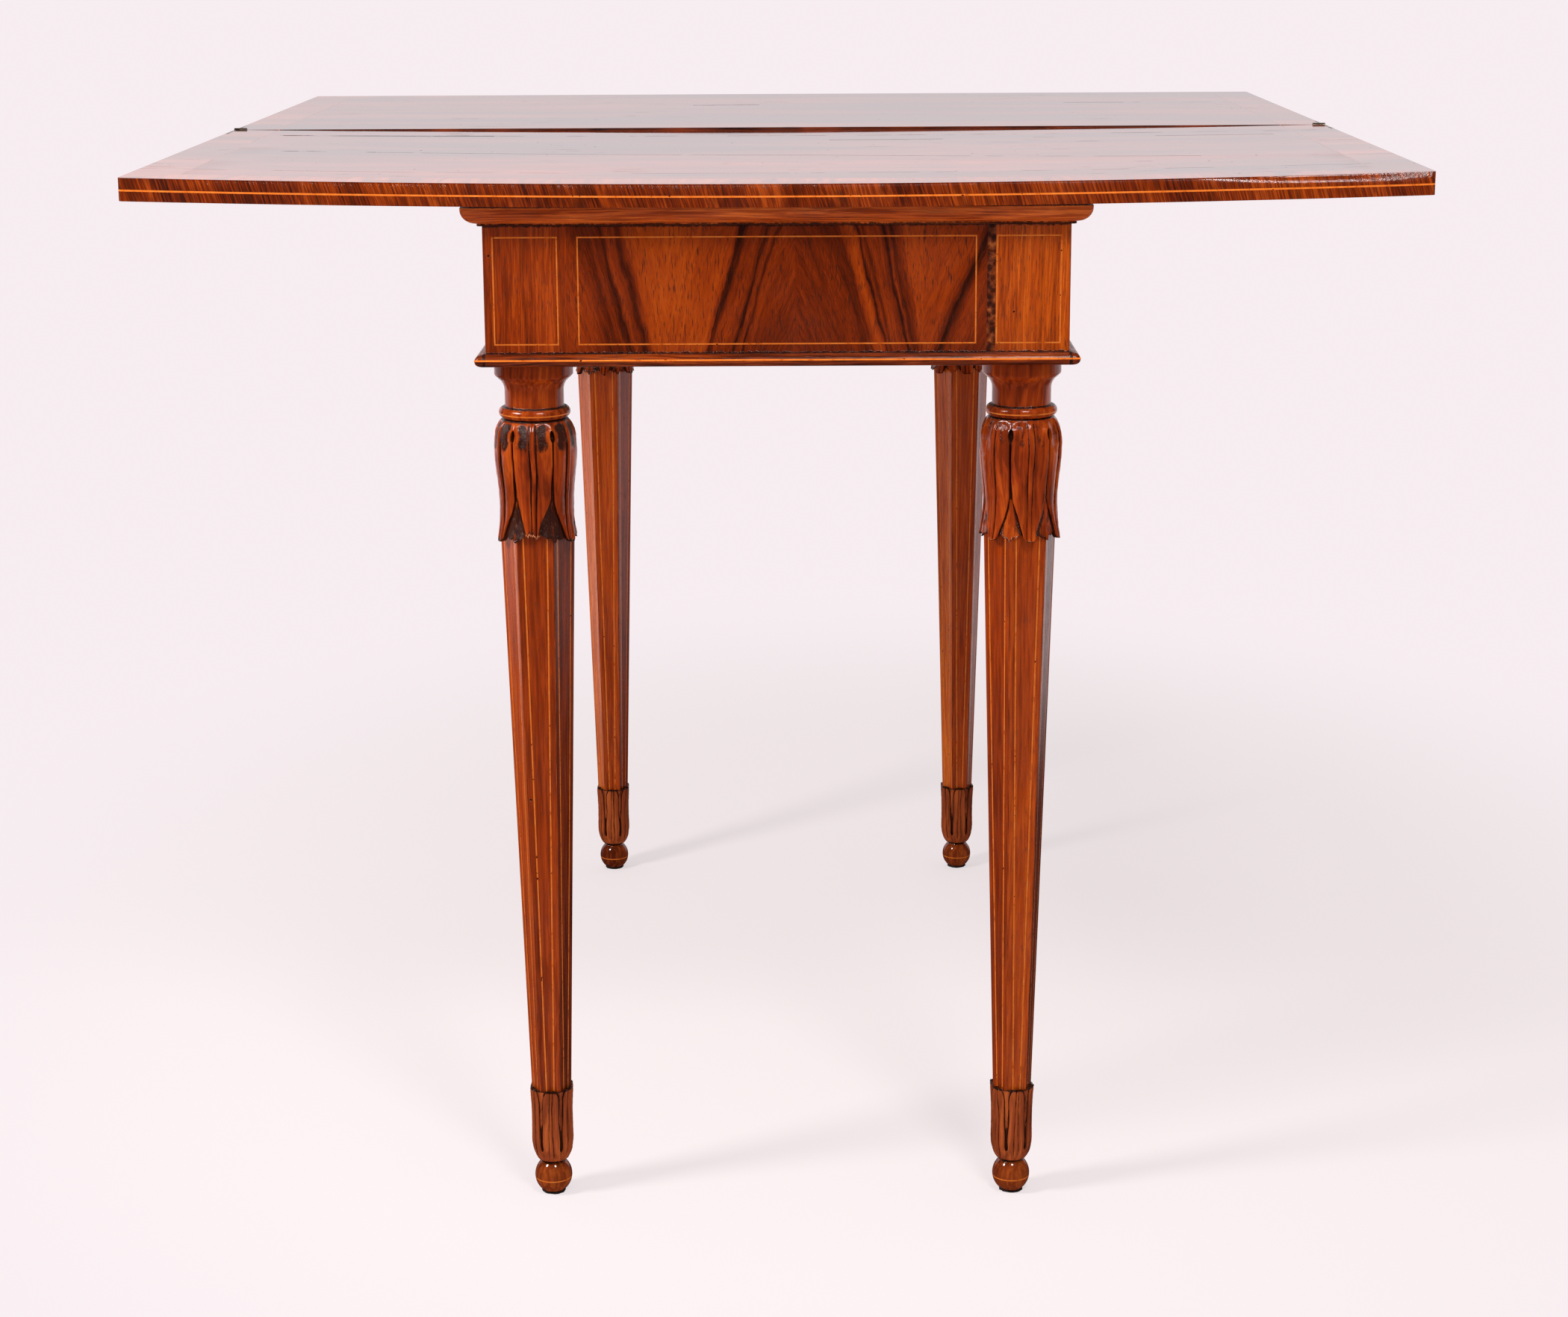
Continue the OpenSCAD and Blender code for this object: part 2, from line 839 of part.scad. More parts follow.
// Outline of the bottom moulding: a sloping top over a round nose
module bottom_outline() {
    centre = bottom_mould_out - nose_r;
    polygon([[0, 0], [centre, 0],
        [centre + nose_r * cos(nose_end), nose_r * (1 + sin(nose_end))],
        [0, bottom_mould_h]]);
    intersection() {
        translate([centre, nose_r])
            circle(nose_r);
        square([bottom_mould_out, 2 * nose_r]);
    }
}

// A run of moulding on side i with mitred ends, standing out by out
module mitred_run(i, z, out, h) {
    half = side_run(i) / 2;
    on_side(i)
        intersection() {
            translate([-half - out, 0, z])
                rotate([90, 0, 90])
                    linear_extrude(2 * half + 2 * out)
                        mirror([1, 0])
                            children();
            translate([0, 0, z - past])
                linear_extrude(h + 2 * past)
                    polygon([[-half, 0], [half, 0], [half + out, -out], [-half - out, -out]]);
        }
}

module top_moulding(i) {
    color(walnut_dark)
        mitred_run(i, panel_top, top_mould_out, top_mould_h)
            top_outline();
}

module bottom_moulding(i) {
    color(walnut)
        mitred_run(i, leg_h, bottom_mould_out, bottom_mould_h)
            difference() {
                bottom_outline();
                nose_string(past);
            }
}

module nose_string(over) {
    translate([bottom_mould_out - string_depth, nose_r + mould_string_over - mould_string_w / 2])
        square([string_depth + over, mould_string_w]);
}

module moulding_stringing() {
    color(boxwood)
        for (i = [0 : 3])
            mitred_run(i, leg_h, bottom_mould_out, bottom_mould_h)
                intersection() {
                    bottom_outline();
                    nose_string(0);
                }
}

module top_moulding_front() {
    top_moulding(0);
}

module top_moulding_right() {
    top_moulding(1);
}

module top_moulding_rear() {
    top_moulding(2);
}

module top_moulding_left() {
    top_moulding(3);
}

module bottom_moulding_front() {
    bottom_moulding(0);
}

module bottom_moulding_right() {
    bottom_moulding(1);
}

module bottom_moulding_rear() {
    bottom_moulding(2);
}

module bottom_moulding_left() {
    bottom_moulding(3);
}

module well_board() {
    reach = board_groove - apron_t - glue_clear;
    color(oak)
        difference() {
            translate([0, 0, board_z + board_t / 2])
                cube([frame_w + 2 * reach, frame_len + 2 * reach, board_t - 2 * glue_clear],
                    center = true);
            for (i = leg_ids)
                translate([(i % 2 == 0 ? -1 : 1) * (frame_w - post_w) / 2,
                        (i < 2 ? -1 : 1) * (frame_len - post_w) / 2, board_z + board_t / 2])
                    cube([post_w + 2 * glue_clear, post_w + 2 * glue_clear, board_t + past],
                        center = true);
        }
}

module rail_space(clear) {
    l = frame_w - 2 * apron_t + 2 * rail_housing - 2 * clear;
    translate([-l / 2, pivot[1] - rail_w / 2 + clear, rail_z + clear])
        cube([l, rail_w - 2 * clear, rail_t + (clear > 0 ? -clear : past)]);
}

module pivot_rail() {
    color(oak)
        difference() {
            rail_space(glue_clear);
            translate([pivot[0], pivot[1], rail_z - past])
                cylinder(r = stud_d / 2 + run_clear, h = rail_t + 2 * past);
        }
}

module glue_block() {
    translate([-block_l / 2, apron_t, board_z])
        rotate([90, 0, 90])
            linear_extrude(block_l)
                polygon([[0, 0], [block_side, 0], [0, -block_side]]);
}

module glue_blocks() {
    color(oak)
        for (i = [0 : 3])
            on_side(i)
                for (k = (i % 2 == 0 ? [0] : [-1, 0, 1]))
                    translate([k * ((side_run(i) - block_l) / 2 - post_w - block_in), 0, 0])
                        glue_block();
}

module leg_dowels() {
    color(oak)
        for (i = leg_ids)
            leg_dowel(i, 0);
}

// Leg i stands on its axis, turned by its own few degrees
module on_leg(i) {
    translate([leg_at(i)[0], leg_at(i)[1], 0])
        rotate([0, 0, leg_turn[i]])
            children();
}

// Outline of the bell below the ring, drawn in by up to inset where it is carved. The inset
// fades towards the leaf tips, where the wall round the shaft is thin.
module bell_outline(inset) {
    waist = waist_d / 2;
    shoulder = [for (k = [0 : curve_steps]) let (a = 90 * k / curve_steps)
        [neck_d / 2 - inset + (bell_d / 2 - neck_d / 2) * sin(a),
            ring_z - bell_rise * (1 - cos(a))]];
    fall = [for (k = [1 : curve_steps]) let (t = k / curve_steps)
        [waist - inset + (bell_d / 2 - waist) * (1 + cos(180 * t)) / 2,
            ring_z - bell_rise - (waist_drop - bell_rise) * t]];
    flare = [for (k = [1 : curve_steps]) let (t = k / curve_steps)
        [waist - inset * (1 - carve_fade * t) + (lip_d / 2 - waist) * t * t,
            ring_z - waist_drop - (bell_h - waist_drop) * t]];
    polygon(concat([[0, ring_z]], shoulder, fall, flare, [[0, bell_foot]]));
}

// A slot between two carved leaves, seen from outside, with an upright eye at its top
module bell_slot() {
    eye_z = ring_z - eye_drop;
    eye_straight = eye_h - eye_d;
    split_z = ring_z - split_drop;
    half = bell_slot_w / 2;
    for (end = [-1, 1])
        translate([0, eye_z + end * eye_straight / 2])
            circle(eye_d / 2);
    translate([-eye_d / 2, eye_z - eye_straight / 2])
        square([eye_d, eye_straight]);
    polygon([[-half, eye_z], [half, eye_z], [half, split_z],
        [bell_tip_gap / 2, bell_foot - past], [-bell_tip_gap / 2, bell_foot - past],
        [-half, split_z]]);
}

// Six copies round the leg's axis of an outline that is pushed outwards, from the first angle
module outwards(first, count) {
    for (k = [0 : count - 1])
        rotate([0, 0, first + k * 360 / count])
            rotate([90, 0, 90])
                linear_extrude(lip_d)
                    children();
}

module hex_shaft(clear) {
    reach = 2 * shaft_top_w;
    intersection() {
        translate([-reach / 2, -reach / 2, shaft_foot])
            cube([reach, reach, shaft_len]);
        for_each_facet_cut(clear, reach);
    }
}

// Six leaning half spaces, one for each facet
module for_each_facet_cut(clear, reach) {
    intersection_for(k = [0 : 5])
        rotate([0, 0, 60 * k])
            translate([0, -shaft_foot_w / 2 - clear, shaft_foot])
                rotate([shaft_lean, 0, 0])
                    translate([-reach / 2, 0, -reach])
                        cube([reach, reach, facet_len + 2 * reach]);
}

// The turned top of a leg
module capital_turning() {
    rotate_extrude()
        translate([0, collar_z])
            square([collar_d / 2, collar_h]);
    rotate_extrude()
        polygon([[0, collar_z], [collar_d / 2, collar_z],
            [neck_d / 2 + neck_flare, collar_z - collar_bevel],
            [0, collar_z - collar_bevel]]);
    rotate_extrude()
        difference() {
            translate([0, neck_z])
                square([neck_d / 2 + neck_flare, neck_h - collar_bevel]);
            translate([neck_d / 2, neck_z - past])
                square([neck_flare + past, flare_z - neck_z + past]);
            translate([neck_d / 2 + neck_arc_r, flare_z])
                circle(neck_arc_r);
        }
}

module ring_outline() {
    translate([0, ring_z])
        square([(ring_d - ring_h) / 2, ring_h]);
    translate([(ring_d - ring_h) / 2, ring_z + ring_h / 2])
        circle(ring_h / 2);
}

module ring_string(over) {
    translate([ring_d / 2 - string_depth, ring_z + ring_h * 0.42 - shaft_string_w / 2])
        square([string_depth + over, shaft_string_w]);
}

module capital(i) {
    color(walnut)
        difference() {
            on_leg(i)
                difference() {
                    union() {
                        capital_turning();
                        rotate_extrude()
                            difference() {
                                ring_outline();
                                ring_string(past);
                            }
                        difference() {
                            rotate_extrude()
                                bell_outline(0);
                            difference() {
                                outwards(0, 6)
                                    bell_slot();
                                rotate_extrude()
                                    bell_outline(carve_d);
                            }
                        }
                    }
                    outwards(tip_turn, 12)
                        polygon([[-tip_notch_w / 2, bell_foot - past],
                            [0, bell_foot + tip_notch_h],
                            [tip_notch_w / 2, bell_foot - past]]);
                    hex_shaft(glue_clear);
                    translate([0, 0, shaft_top - past])
                        cylinder(r = top_tenon_d / 2 + glue_clear, h = top_tenon_l + past);
                }
            leg_dowel(i, glue_clear);
        }
}

// Half the width of a facet at a length up from its foot
function facet_half(l) = (shaft_foot_w + (shaft_top_w - shaft_foot_w) * l / facet_len) / 2 * tan(30);

// Two string lines on each facet. As grooves they run over by over on every side.
module facet_strings(over) {
    for (k = [0 : 5])
        rotate([0, 0, 60 * k])
            translate([0, -shaft_foot_w / 2, shaft_foot])
                rotate([shaft_lean, 0, 0])
                    for (side = [-1, 1])
                        translate([0, string_depth, 0])
                            rotate([90, 0, 0])
                                linear_extrude(string_depth + over)
                                    polygon([for (p = [[-over, 0], [facet_len + over, 0],
                                            [facet_len + over, 1], [-over, 1]])
                                        [side * (facet_half(p[0]) - facet_string_in
                                            - p[1] * shaft_string_w), p[0]]]);
}

module shaft(i) {
    color(walnut_light)
        on_leg(i) {
            difference() {
                hex_shaft(0);
                facet_strings(past);
            }
            translate([0, 0, shaft_top - past])
                cylinder(r = top_tenon_d / 2, h = past + top_tenon_l - glue_clear);
            translate([0, 0, shaft_foot - foot_tenon_l + glue_clear])
                cylinder(r = foot_tenon_d / 2, h = foot_tenon_l - glue_clear + past);
        }
}

// Outline of the foot cup, drawn in by inset where it is carved
module cup_outline(inset) {
    belly = [for (k = [0 : curve_steps]) let (a = 90 * k / curve_steps)
        [cup_foot_d / 2 - inset + (cup_belly_d - cup_foot_d) / 2 * sin(a),
            cup_up + cup_belly_up * (1 - cos(a))]];
    upper = [for (k = [1 : curve_steps]) let (t = k / curve_steps)
        [cup_belly_d / 2 - inset * (1 - t) - (cup_belly_d - cup_waist_d) / 2 * sin(180 * t)
            + (cup_rim_d - cup_belly_d) / 2 * t * t,
            cup_up + cup_belly_up + (cup_h - cup_belly_up) * t]];
    polygon(concat([[0, cup_up]], belly, upper, [[0, cup_top]]));
}

module cup_slot() {
    low = cup_up + cup_eye_up;
    high = cup_top - cup_seat;
    half = cup_slot_w / 2;
    translate([0, low])
        circle(cup_eye_d / 2);
    polygon([[-half, low], [half, low], [half, high - cup_slot_open],
        [cup_slot_top_w / 2, high], [-cup_slot_top_w / 2, high],
        [-half, high - cup_slot_open]]);
}

module foot_cup(i) {
    color(walnut)
        on_leg(i)
            difference() {
                rotate_extrude()
                    cup_outline(0);
                difference() {
                    outwards(0, 6)
                        cup_slot();
                    rotate_extrude()
                        cup_outline(cup_carve_d);
                }
                outwards(tip_turn, 12)
                    polygon([[-rim_notch_w / 2, cup_top + past],
                        [0, cup_top - rim_notch_h],
                        [rim_notch_w / 2, cup_top + past]]);
                hex_shaft(glue_clear);
                translate([0, 0, shaft_foot - foot_tenon_l])
                    cylinder(r = foot_tenon_d / 2 + glue_clear, h = foot_tenon_l + past);
                translate([0, 0, cup_up - past])
                    cylinder(r = ball_tenon_d / 2 + glue_clear, h = ball_tenon_l + past);
            }
}

// Outline of the ball: an arc flatter than the ball's own radius, cut flat above and below
module ball_outline() {
    intersection() {
        translate([ball_d / 2 - ball_arc_r, ball_up])
            circle(ball_arc_r);
        translate([0, pad_t])
            square([ball_d, cup_up - pad_t]);
    }
}

module ball_string(over) {
    translate([ball_d / 2 - string_depth - ball_string_sink, ball_string_up - shaft_string_w / 2])
        square([string_depth + ball_string_sink + over, shaft_string_w]);
}

module ball_foot(i) {
    color(walnut_light)
        on_leg(i) {
            rotate_extrude()
                difference() {
                    ball_outline();
                    ball_string(past);
                }
            translate([0, 0, cup_up - past])
                cylinder(r = ball_tenon_d / 2, h = past + ball_tenon_l - glue_clear);
        }
}

module leg_stringing() {
    color(boxwood)
        for (i = leg_ids)
            on_leg(i) {
                facet_strings(0);
                rotate_extrude()
                    intersection() {
                        ring_outline();
                        ring_string(0);
                    }
                rotate_extrude()
                    intersection() {
                        ball_outline();
                        ball_string(0);
                    }
            }
}

module foot_pads() {
    color(felt)
        for (i = leg_ids)
            on_leg(i)
                cylinder(r = pad_d / 2, h = pad_t);
}

module capital_front_left() {
    capital(0);
}

module capital_front_right() {
    capital(1);
}

module capital_rear_left() {
    capital(2);
}

module capital_rear_right() {
    capital(3);
}

module shaft_front_left() {
    shaft(0);
}

module shaft_front_right() {
    shaft(1);
}

module shaft_rear_left() {
    shaft(2);
}

module shaft_rear_right() {
    shaft(3);
}

module foot_cup_front_left() {
    foot_cup(0);
}

module foot_cup_front_right() {
    foot_cup(1);
}

module foot_cup_rear_left() {
    foot_cup(2);
}

module foot_cup_rear_right() {
    foot_cup(3);
}

module ball_foot_front_left() {
    ball_foot(0);
}

module ball_foot_front_right() {
    ball_foot(1);
}

module ball_foot_rear_left() {
    ball_foot(2);
}

module ball_foot_rear_right() {
    ball_foot(3);
}

fixed_leaf();
fixed_leaf_banding();
fixed_leaf_stringing();
fixed_hinge_plate_left();
fixed_hinge_plate_right();
fixed_hinge_screws();
hinge_pins();
pivot_stud();
pivot_screws();
pivot_washer();
pivot_nut();
stop_peg();
folding_leaf();
folding_leaf_banding();
folding_leaf_stringing();
folding_hinge_plate_left();
folding_hinge_plate_right();
folding_hinge_screws();
apron_front();
apron_rear();
apron_left();
apron_right();
post_front_left();
post_front_right();
post_rear_left();
post_rear_right();
top_moulding_front();
top_moulding_rear();
top_moulding_left();
top_moulding_right();
bottom_moulding_front();
bottom_moulding_rear();
bottom_moulding_left();
bottom_moulding_right();
frame_stringing();
moulding_stringing();
veneer_patch();
well_board();
pivot_rail();
glue_blocks();
leg_dowels();
capital_front_left();
capital_front_right();
capital_rear_left();
capital_rear_right();
shaft_front_left();
shaft_front_right();
shaft_rear_left();
shaft_rear_right();
foot_cup_front_left();
foot_cup_front_right();
foot_cup_rear_left();
foot_cup_rear_right();
ball_foot_front_left();
ball_foot_front_right();
ball_foot_rear_left();
ball_foot_rear_right();
leg_stringing();
foot_pads();
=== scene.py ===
import math
import random
import bpy
import numpy as np
from mathutils import Matrix, Vector, noise as mathNoise


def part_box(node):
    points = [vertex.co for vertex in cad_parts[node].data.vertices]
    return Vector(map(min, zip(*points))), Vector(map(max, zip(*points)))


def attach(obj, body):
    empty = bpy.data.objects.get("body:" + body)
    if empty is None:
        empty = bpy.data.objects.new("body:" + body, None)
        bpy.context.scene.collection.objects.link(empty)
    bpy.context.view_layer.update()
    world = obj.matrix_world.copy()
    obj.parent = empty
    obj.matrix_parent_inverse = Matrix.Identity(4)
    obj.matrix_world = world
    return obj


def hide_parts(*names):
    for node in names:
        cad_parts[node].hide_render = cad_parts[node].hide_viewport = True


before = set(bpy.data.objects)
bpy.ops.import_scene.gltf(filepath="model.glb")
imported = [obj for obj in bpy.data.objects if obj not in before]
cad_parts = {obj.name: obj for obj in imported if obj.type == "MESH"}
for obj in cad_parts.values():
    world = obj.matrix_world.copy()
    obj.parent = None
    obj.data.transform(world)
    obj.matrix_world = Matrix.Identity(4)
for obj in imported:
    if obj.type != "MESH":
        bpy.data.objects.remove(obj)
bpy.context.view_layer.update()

mm = 0.001
legNames = ["front_left", "front_right", "rear_left", "rear_right"]

# Sizes that the frame gives, in metres
leafLow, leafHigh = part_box("folding_leaf")
leafHalf, leafDepth, leafTop = leafHigh
leafThick = leafTop - leafLow.z
leafBow = leafLow.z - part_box("fixed_leaf")[0].z
frameHalf = [-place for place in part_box("post_front_left")[0].xy]
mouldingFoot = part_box("top_moulding_front")[0].z
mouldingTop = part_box("top_moulding_front")[1].z
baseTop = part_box("bottom_moulding_front")[1].z


def camel(leg):
    return leg.title().replace("_", "")


# The photograph's own view of the table
cameraSetup = {
    "place": (0.0135, -2.5381, 0.9478),   # m
    "pitch": 13.98,                       # degrees below the horizon
    "yaw": 0.27,
    "roll": -0.30,
    "lens": 69.70,                        # mm on a 36 mm wide sensor
}


def addCamera():
    data = bpy.data.cameras.new("photoCamera")
    camera = bpy.data.objects.new("photoCamera", data)
    bpy.context.scene.collection.objects.link(camera)
    data.sensor_width = 36
    data.lens = cameraSetup["lens"]
    turn = (Matrix.Rotation(math.radians(cameraSetup["yaw"]), 4, "Z")
            @ Matrix.Rotation(math.radians(90 - cameraSetup["pitch"]), 4, "X")
            @ Matrix.Rotation(math.radians(cameraSetup["roll"]), 4, "Z"))
    camera.matrix_world = Matrix.Translation(cameraSetup["place"]) @ turn
    bpy.context.scene.camera = camera


# Nodes of a material or group, made and wired in one call

def feed(tree, sockets, values):
    for key, value in values.items():
        if isinstance(value, bpy.types.NodeSocket):
            tree.links.new(value, sockets[key])
        else:
            sockets[key].default_value = value


def put(tree, kind, inputs=None, **settings):
    node = tree.nodes.new("ShaderNode" + kind)
    for key, value in settings.items():
        setattr(node, key, value)
    feed(tree, node.inputs, inputs or {})
    return node


def calc(tree, operation, a, b=0.0, c=0.0, clamp=False):
    return put(tree, "Math", {0: a, 1: b, 2: c}, operation=operation, use_clamp=clamp).outputs[0]


def centred(tree, value, reach):
    # A noise from 0 to 1 made a shift to both sides, reach wide in all
    return calc(tree, "MULTIPLY_ADD", value, reach, -reach / 2)


def pick(tree, factor, a, b):
    return put(tree, "Mix", {0: factor, 2: a, 3: b}).outputs[0]


def blendColours(tree, factor, a, b):
    return put(tree, "Mix", {0: factor, 6: a, 7: (*b, 1)}, data_type="RGBA").outputs[2]


def brighten(tree, colour, by):
    return put(tree, "VectorMath", {0: colour, "Scale": by}, operation="SCALE").outputs[0]


def ramp(tree, value, stops, ease="EASE"):
    node = put(tree, "ValToRGB", {0: value})
    node.color_ramp.interpolation = ease
    elements = node.color_ramp.elements
    while len(elements) < len(stops):
        elements.new(0.5)
    for element, (place, colour) in zip(elements, stops):
        element.position = place
        element.color = (*colour, 1)
    return node.outputs[0]


def evenStops(*colours):
    # Evenly placed from the dark end of the grain to the pale one
    return [(0.1 + 0.8 * number / (len(colours) - 1), colour) for number, colour in enumerate(colours)]


def remap(tree, value, low, high, toLow=0.0, toHigh=1.0, kind="SMOOTHSTEP"):
    node = put(tree, "MapRange", {0: value, 1: low, 2: high, 3: toLow, 4: toHigh}, interpolation_type=kind)
    return node.outputs[0]


def noise(tree, vector, scale, detail=2.0, rough=0.5, distort=0.0):
    return put(tree, "TexNoise", {"Vector": vector, "Scale": scale, "Detail": detail,
                                  "Roughness": rough, "Distortion": distort}).outputs[0]


def scaled(tree, vector, by):
    return put(tree, "VectorMath", {0: vector, 1: by}, operation="MULTIPLY").outputs[0]


def split(tree, vector):
    return put(tree, "SeparateXYZ", {0: vector}).outputs


def joined(tree, x, y, z):
    return put(tree, "CombineXYZ", {0: x, 1: y, 2: z}).outputs[0]


def bumpNormal(tree, height, strength, distance):
    return put(tree, "Bump", {"Strength": strength, "Distance": distance, "Height": height}).outputs[0]


def newGroup(name, inputs, outputs):
    tree = bpy.data.node_groups.new(name, "ShaderNodeTree")
    for title, kind, start in inputs:
        socket = tree.interface.new_socket(title, in_out="INPUT", socket_type="NodeSocket" + kind)
        if start is not None:
            socket.default_value = start
    for title in outputs:
        tree.interface.new_socket(title, in_out="OUTPUT", socket_type="NodeSocketFloat")
    return tree, tree.nodes.new("NodeGroupInput").outputs, tree.nodes.new("NodeGroupOutput").inputs


def useGroup(tree, group, **values):
    inputs = {title.replace("_", " "): value for title, value in values.items()}
    return put(tree, "Group", inputs, node_tree=group).outputs


grainShape = {
    "seedShift": (0.37, 0.21, 0.53),           # m, from one seed to the next
    "streak": 0.34, "streakStretch": 1.8,      # shares of the figure's width and stretch
    "ringStretch": 28.0,
    "pore": 0.6 * mm, "poreStretch": 14.0,
    "fibre": 1.6 * mm, "fibreStretch": 40.0,
}


def buildWoodGrain():
    # Grain runs along Z of the vector that comes in. Widths are in metres.
    s = grainShape
    tree, inside, out = newGroup("woodGrain", [
        ("Vector", "Vector", None), ("Figure Width", "Float", 0.02), ("Stretch", "Float", 8.0),
        ("Wander", "Float", 0.006), ("Ring Width", "Float", 0.004), ("Seed", "Float", 0.0)],
        ["Figure", "Streak", "Rings", "Pores", "Fibre"])
    offset = joined(tree, *[calc(tree, "MULTIPLY", inside["Seed"], shift) for shift in s["seedShift"]])
    shifted = put(tree, "VectorMath", {0: inside["Vector"], 1: offset}, operation="ADD").outputs[0]
    slow = put(tree, "TexNoise", {"Vector": scaled(tree, shifted, (1, 1, 0.35)), "Scale": 14.0,
                                  "Detail": 3.0, "Roughness": 0.5})
    swing = put(tree, "VectorMath", {0: slow.outputs["Color"], 1: (0.5, 0.5, 0.5)}, operation="SUBTRACT")
    wander = scaled(tree, swing.outputs[0], calc(tree, "MULTIPLY", inside["Wander"], 4.0))
    aside = scaled(tree, wander, (1, 1, 0))
    place = put(tree, "VectorMath", {0: shifted, 1: aside}, operation="ADD").outputs[0]

    def along(width, stretch):
        across = calc(tree, "DIVIDE", 1.0, width)
        return scaled(tree, place, joined(tree, across, across, calc(tree, "DIVIDE", across, stretch)))

    narrow = calc(tree, "MULTIPLY", inside["Figure Width"], s["streak"])
    longer = calc(tree, "MULTIPLY", inside["Stretch"], s["streakStretch"])
    figure = noise(tree, along(inside["Figure Width"], inside["Stretch"]), 1.0, 4.0, 0.55)
    streak = noise(tree, along(narrow, longer), 1.0, 3.0, 0.6, 0.3)
    rings = noise(tree, along(inside["Ring Width"], s["ringStretch"]), 1.0, 2.0, 0.5)
    pores = noise(tree, along(s["pore"], s["poreStretch"]), 1.0, 1.0, 0.5)
    fibre = noise(tree, along(s["fibre"], s["fibreStretch"]), 1.0, 2.0, 0.6)
    feed(tree, out, {"Figure": remap(tree, figure, 0.30, 0.70), "Streak": remap(tree, streak, 0.53, 0.68),
                     "Rings": remap(tree, rings, 0.35, 0.65), "Pores": remap(tree, pores, 0.58, 0.70),
                     "Fibre": remap(tree, fibre, 0.25, 0.75)})
    return tree


def buildWear():
    # Worm holes, dark specks and smudges of an old polished surface
    tree, inside, out = newGroup("oldSurface", [
        ("Vector", "Vector", None), ("Holes", "Float", 0.0), ("Specks", "Float", 0.3)],
        ["Holes", "Specks", "Smudge"])
    cells = put(tree, "TexVoronoi", {"Vector": inside["Vector"], "Scale": 55.0, "Randomness": 1.0})
    dots = remap(tree, cells.outputs["Distance"], 0.05, 0.035)
    some = calc(tree, "LESS_THAN", split(tree, cells.outputs["Color"])[0], inside["Holes"])
    fine = noise(tree, inside["Vector"], 900.0, 2.0, 0.6)
    patches = noise(tree, inside["Vector"], 30.0, 2.0, 0.5)
    spotted = calc(tree, "MULTIPLY", remap(tree, fine, 0.66, 0.74), remap(tree, patches, 0.45, 0.62))
    feed(tree, out, {"Holes": calc(tree, "MULTIPLY", dots, some),
                     "Specks": calc(tree, "MULTIPLY", spotted, inside["Specks"]),
                     "Smudge": noise(tree, inside["Vector"], 18.0, 4.0, 0.6)})
    return tree


def buildBookMatch():
    # Walnut leaves opened like a book. The streaks lean away from each flame as they go down.
    tree, inside, out = newGroup("bookMatch", [
        ("Along", "Float", 0.0), ("Up", "Float", 0.0), ("Flame Middle", "Float", 0.0126),
        ("Half Leaf", "Float", 0.089), ("Top", "Float", 0.715), ("Lean", "Float", 0.36),
        ("Closing", "Float", 0.2), ("Ragged", "Float", 0.0)],
        ["Contour", "Leaf"])
    away = calc(tree, "SUBTRACT", inside["Along"], inside["Flame Middle"])
    across = calc(tree, "PINGPONG", away, inside["Half Leaf"])
    number = calc(tree, "FLOOR", calc(tree, "DIVIDE", away, inside["Half Leaf"]))
    leaf = calc(tree, "FLOORED_MODULO", calc(tree, "ADD", number, 2.0), 4.0)
    last = calc(tree, "GREATER_THAN", leaf, 2.5)
    lean = calc(tree, "MULTIPLY", inside["Lean"], calc(tree, "MULTIPLY_ADD", last, 0.5, 1.0))
    drop = calc(tree, "SUBTRACT", inside["Top"], inside["Up"])
    moved = calc(tree, "SUBTRACT", calc(tree, "ADD", across, inside["Ragged"]),
                 calc(tree, "MULTIPLY", drop, lean))
    shrink = calc(tree, "DIVIDE", calc(tree, "MULTIPLY", drop, inside["Closing"]), inside["Half Leaf"])
    feed(tree, out, {"Contour": calc(tree, "DIVIDE", moved, calc(tree, "SUBTRACT", 1.0, shrink)),
                     "Leaf": leaf})
    return tree


woodGrain = buildWoodGrain()
oldSurface = buildWear()
bookMatch = buildBookMatch()

# Colours as they read in plain light
tone = {
    "streak": (0.055, 0.009, 0.002),
    "gap": (0.135, 0.018, 0.002),
    "black": (0.010, 0.005, 0.004),
    "string": (0.88, 0.21, 0.024),
    "bare": (0.52, 0.19, 0.07),
}
upright = (0, 0, 0)
alongX = (0, 90, 0)
alongY = (90, 0, 0)


def startMaterial(name):
    material = bpy.data.materials.new(name)
    material.use_nodes = True
    tree = material.node_tree
    return material, tree, tree.nodes["Principled BSDF"]


def objectPlace(tree, turn=upright):
    # Turns the grain from upright to the way it runs on the piece
    where = put(tree, "TexCoord").outputs["Object"]
    if turn == upright:
        return where
    angles = [math.radians(angle) for angle in turn]
    return put(tree, "Mapping", {"Vector": where, "Rotation": angles}).outputs[0]


def grainOf(tree, place, look):
    return useGroup(tree, woodGrain, Vector=place, Figure_Width=look["figure"], Stretch=look["stretch"],
                    Wander=look["wander"], Ring_Width=look["ring"], Seed=look.get("seed", 0.0))


def woodColour(tree, grain, look):
    share = look.get("figureShare", 0.6)
    fibre = look.get("fibre", 0.3)
    mixed = calc(tree, "ADD", calc(tree, "MULTIPLY", grain["Figure"], share),
                 calc(tree, "MULTIPLY", grain["Rings"], 1 - share))
    fine = calc(tree, "MULTIPLY_ADD", grain["Fibre"], fibre, 1 - fibre / 2)
    colour = brighten(tree, ramp(tree, mixed, look["colours"]), fine)
    return blendColours(tree, calc(tree, "MULTIPLY", grain["Streak"], look["streaks"]), colour,
                        tone["streak"])


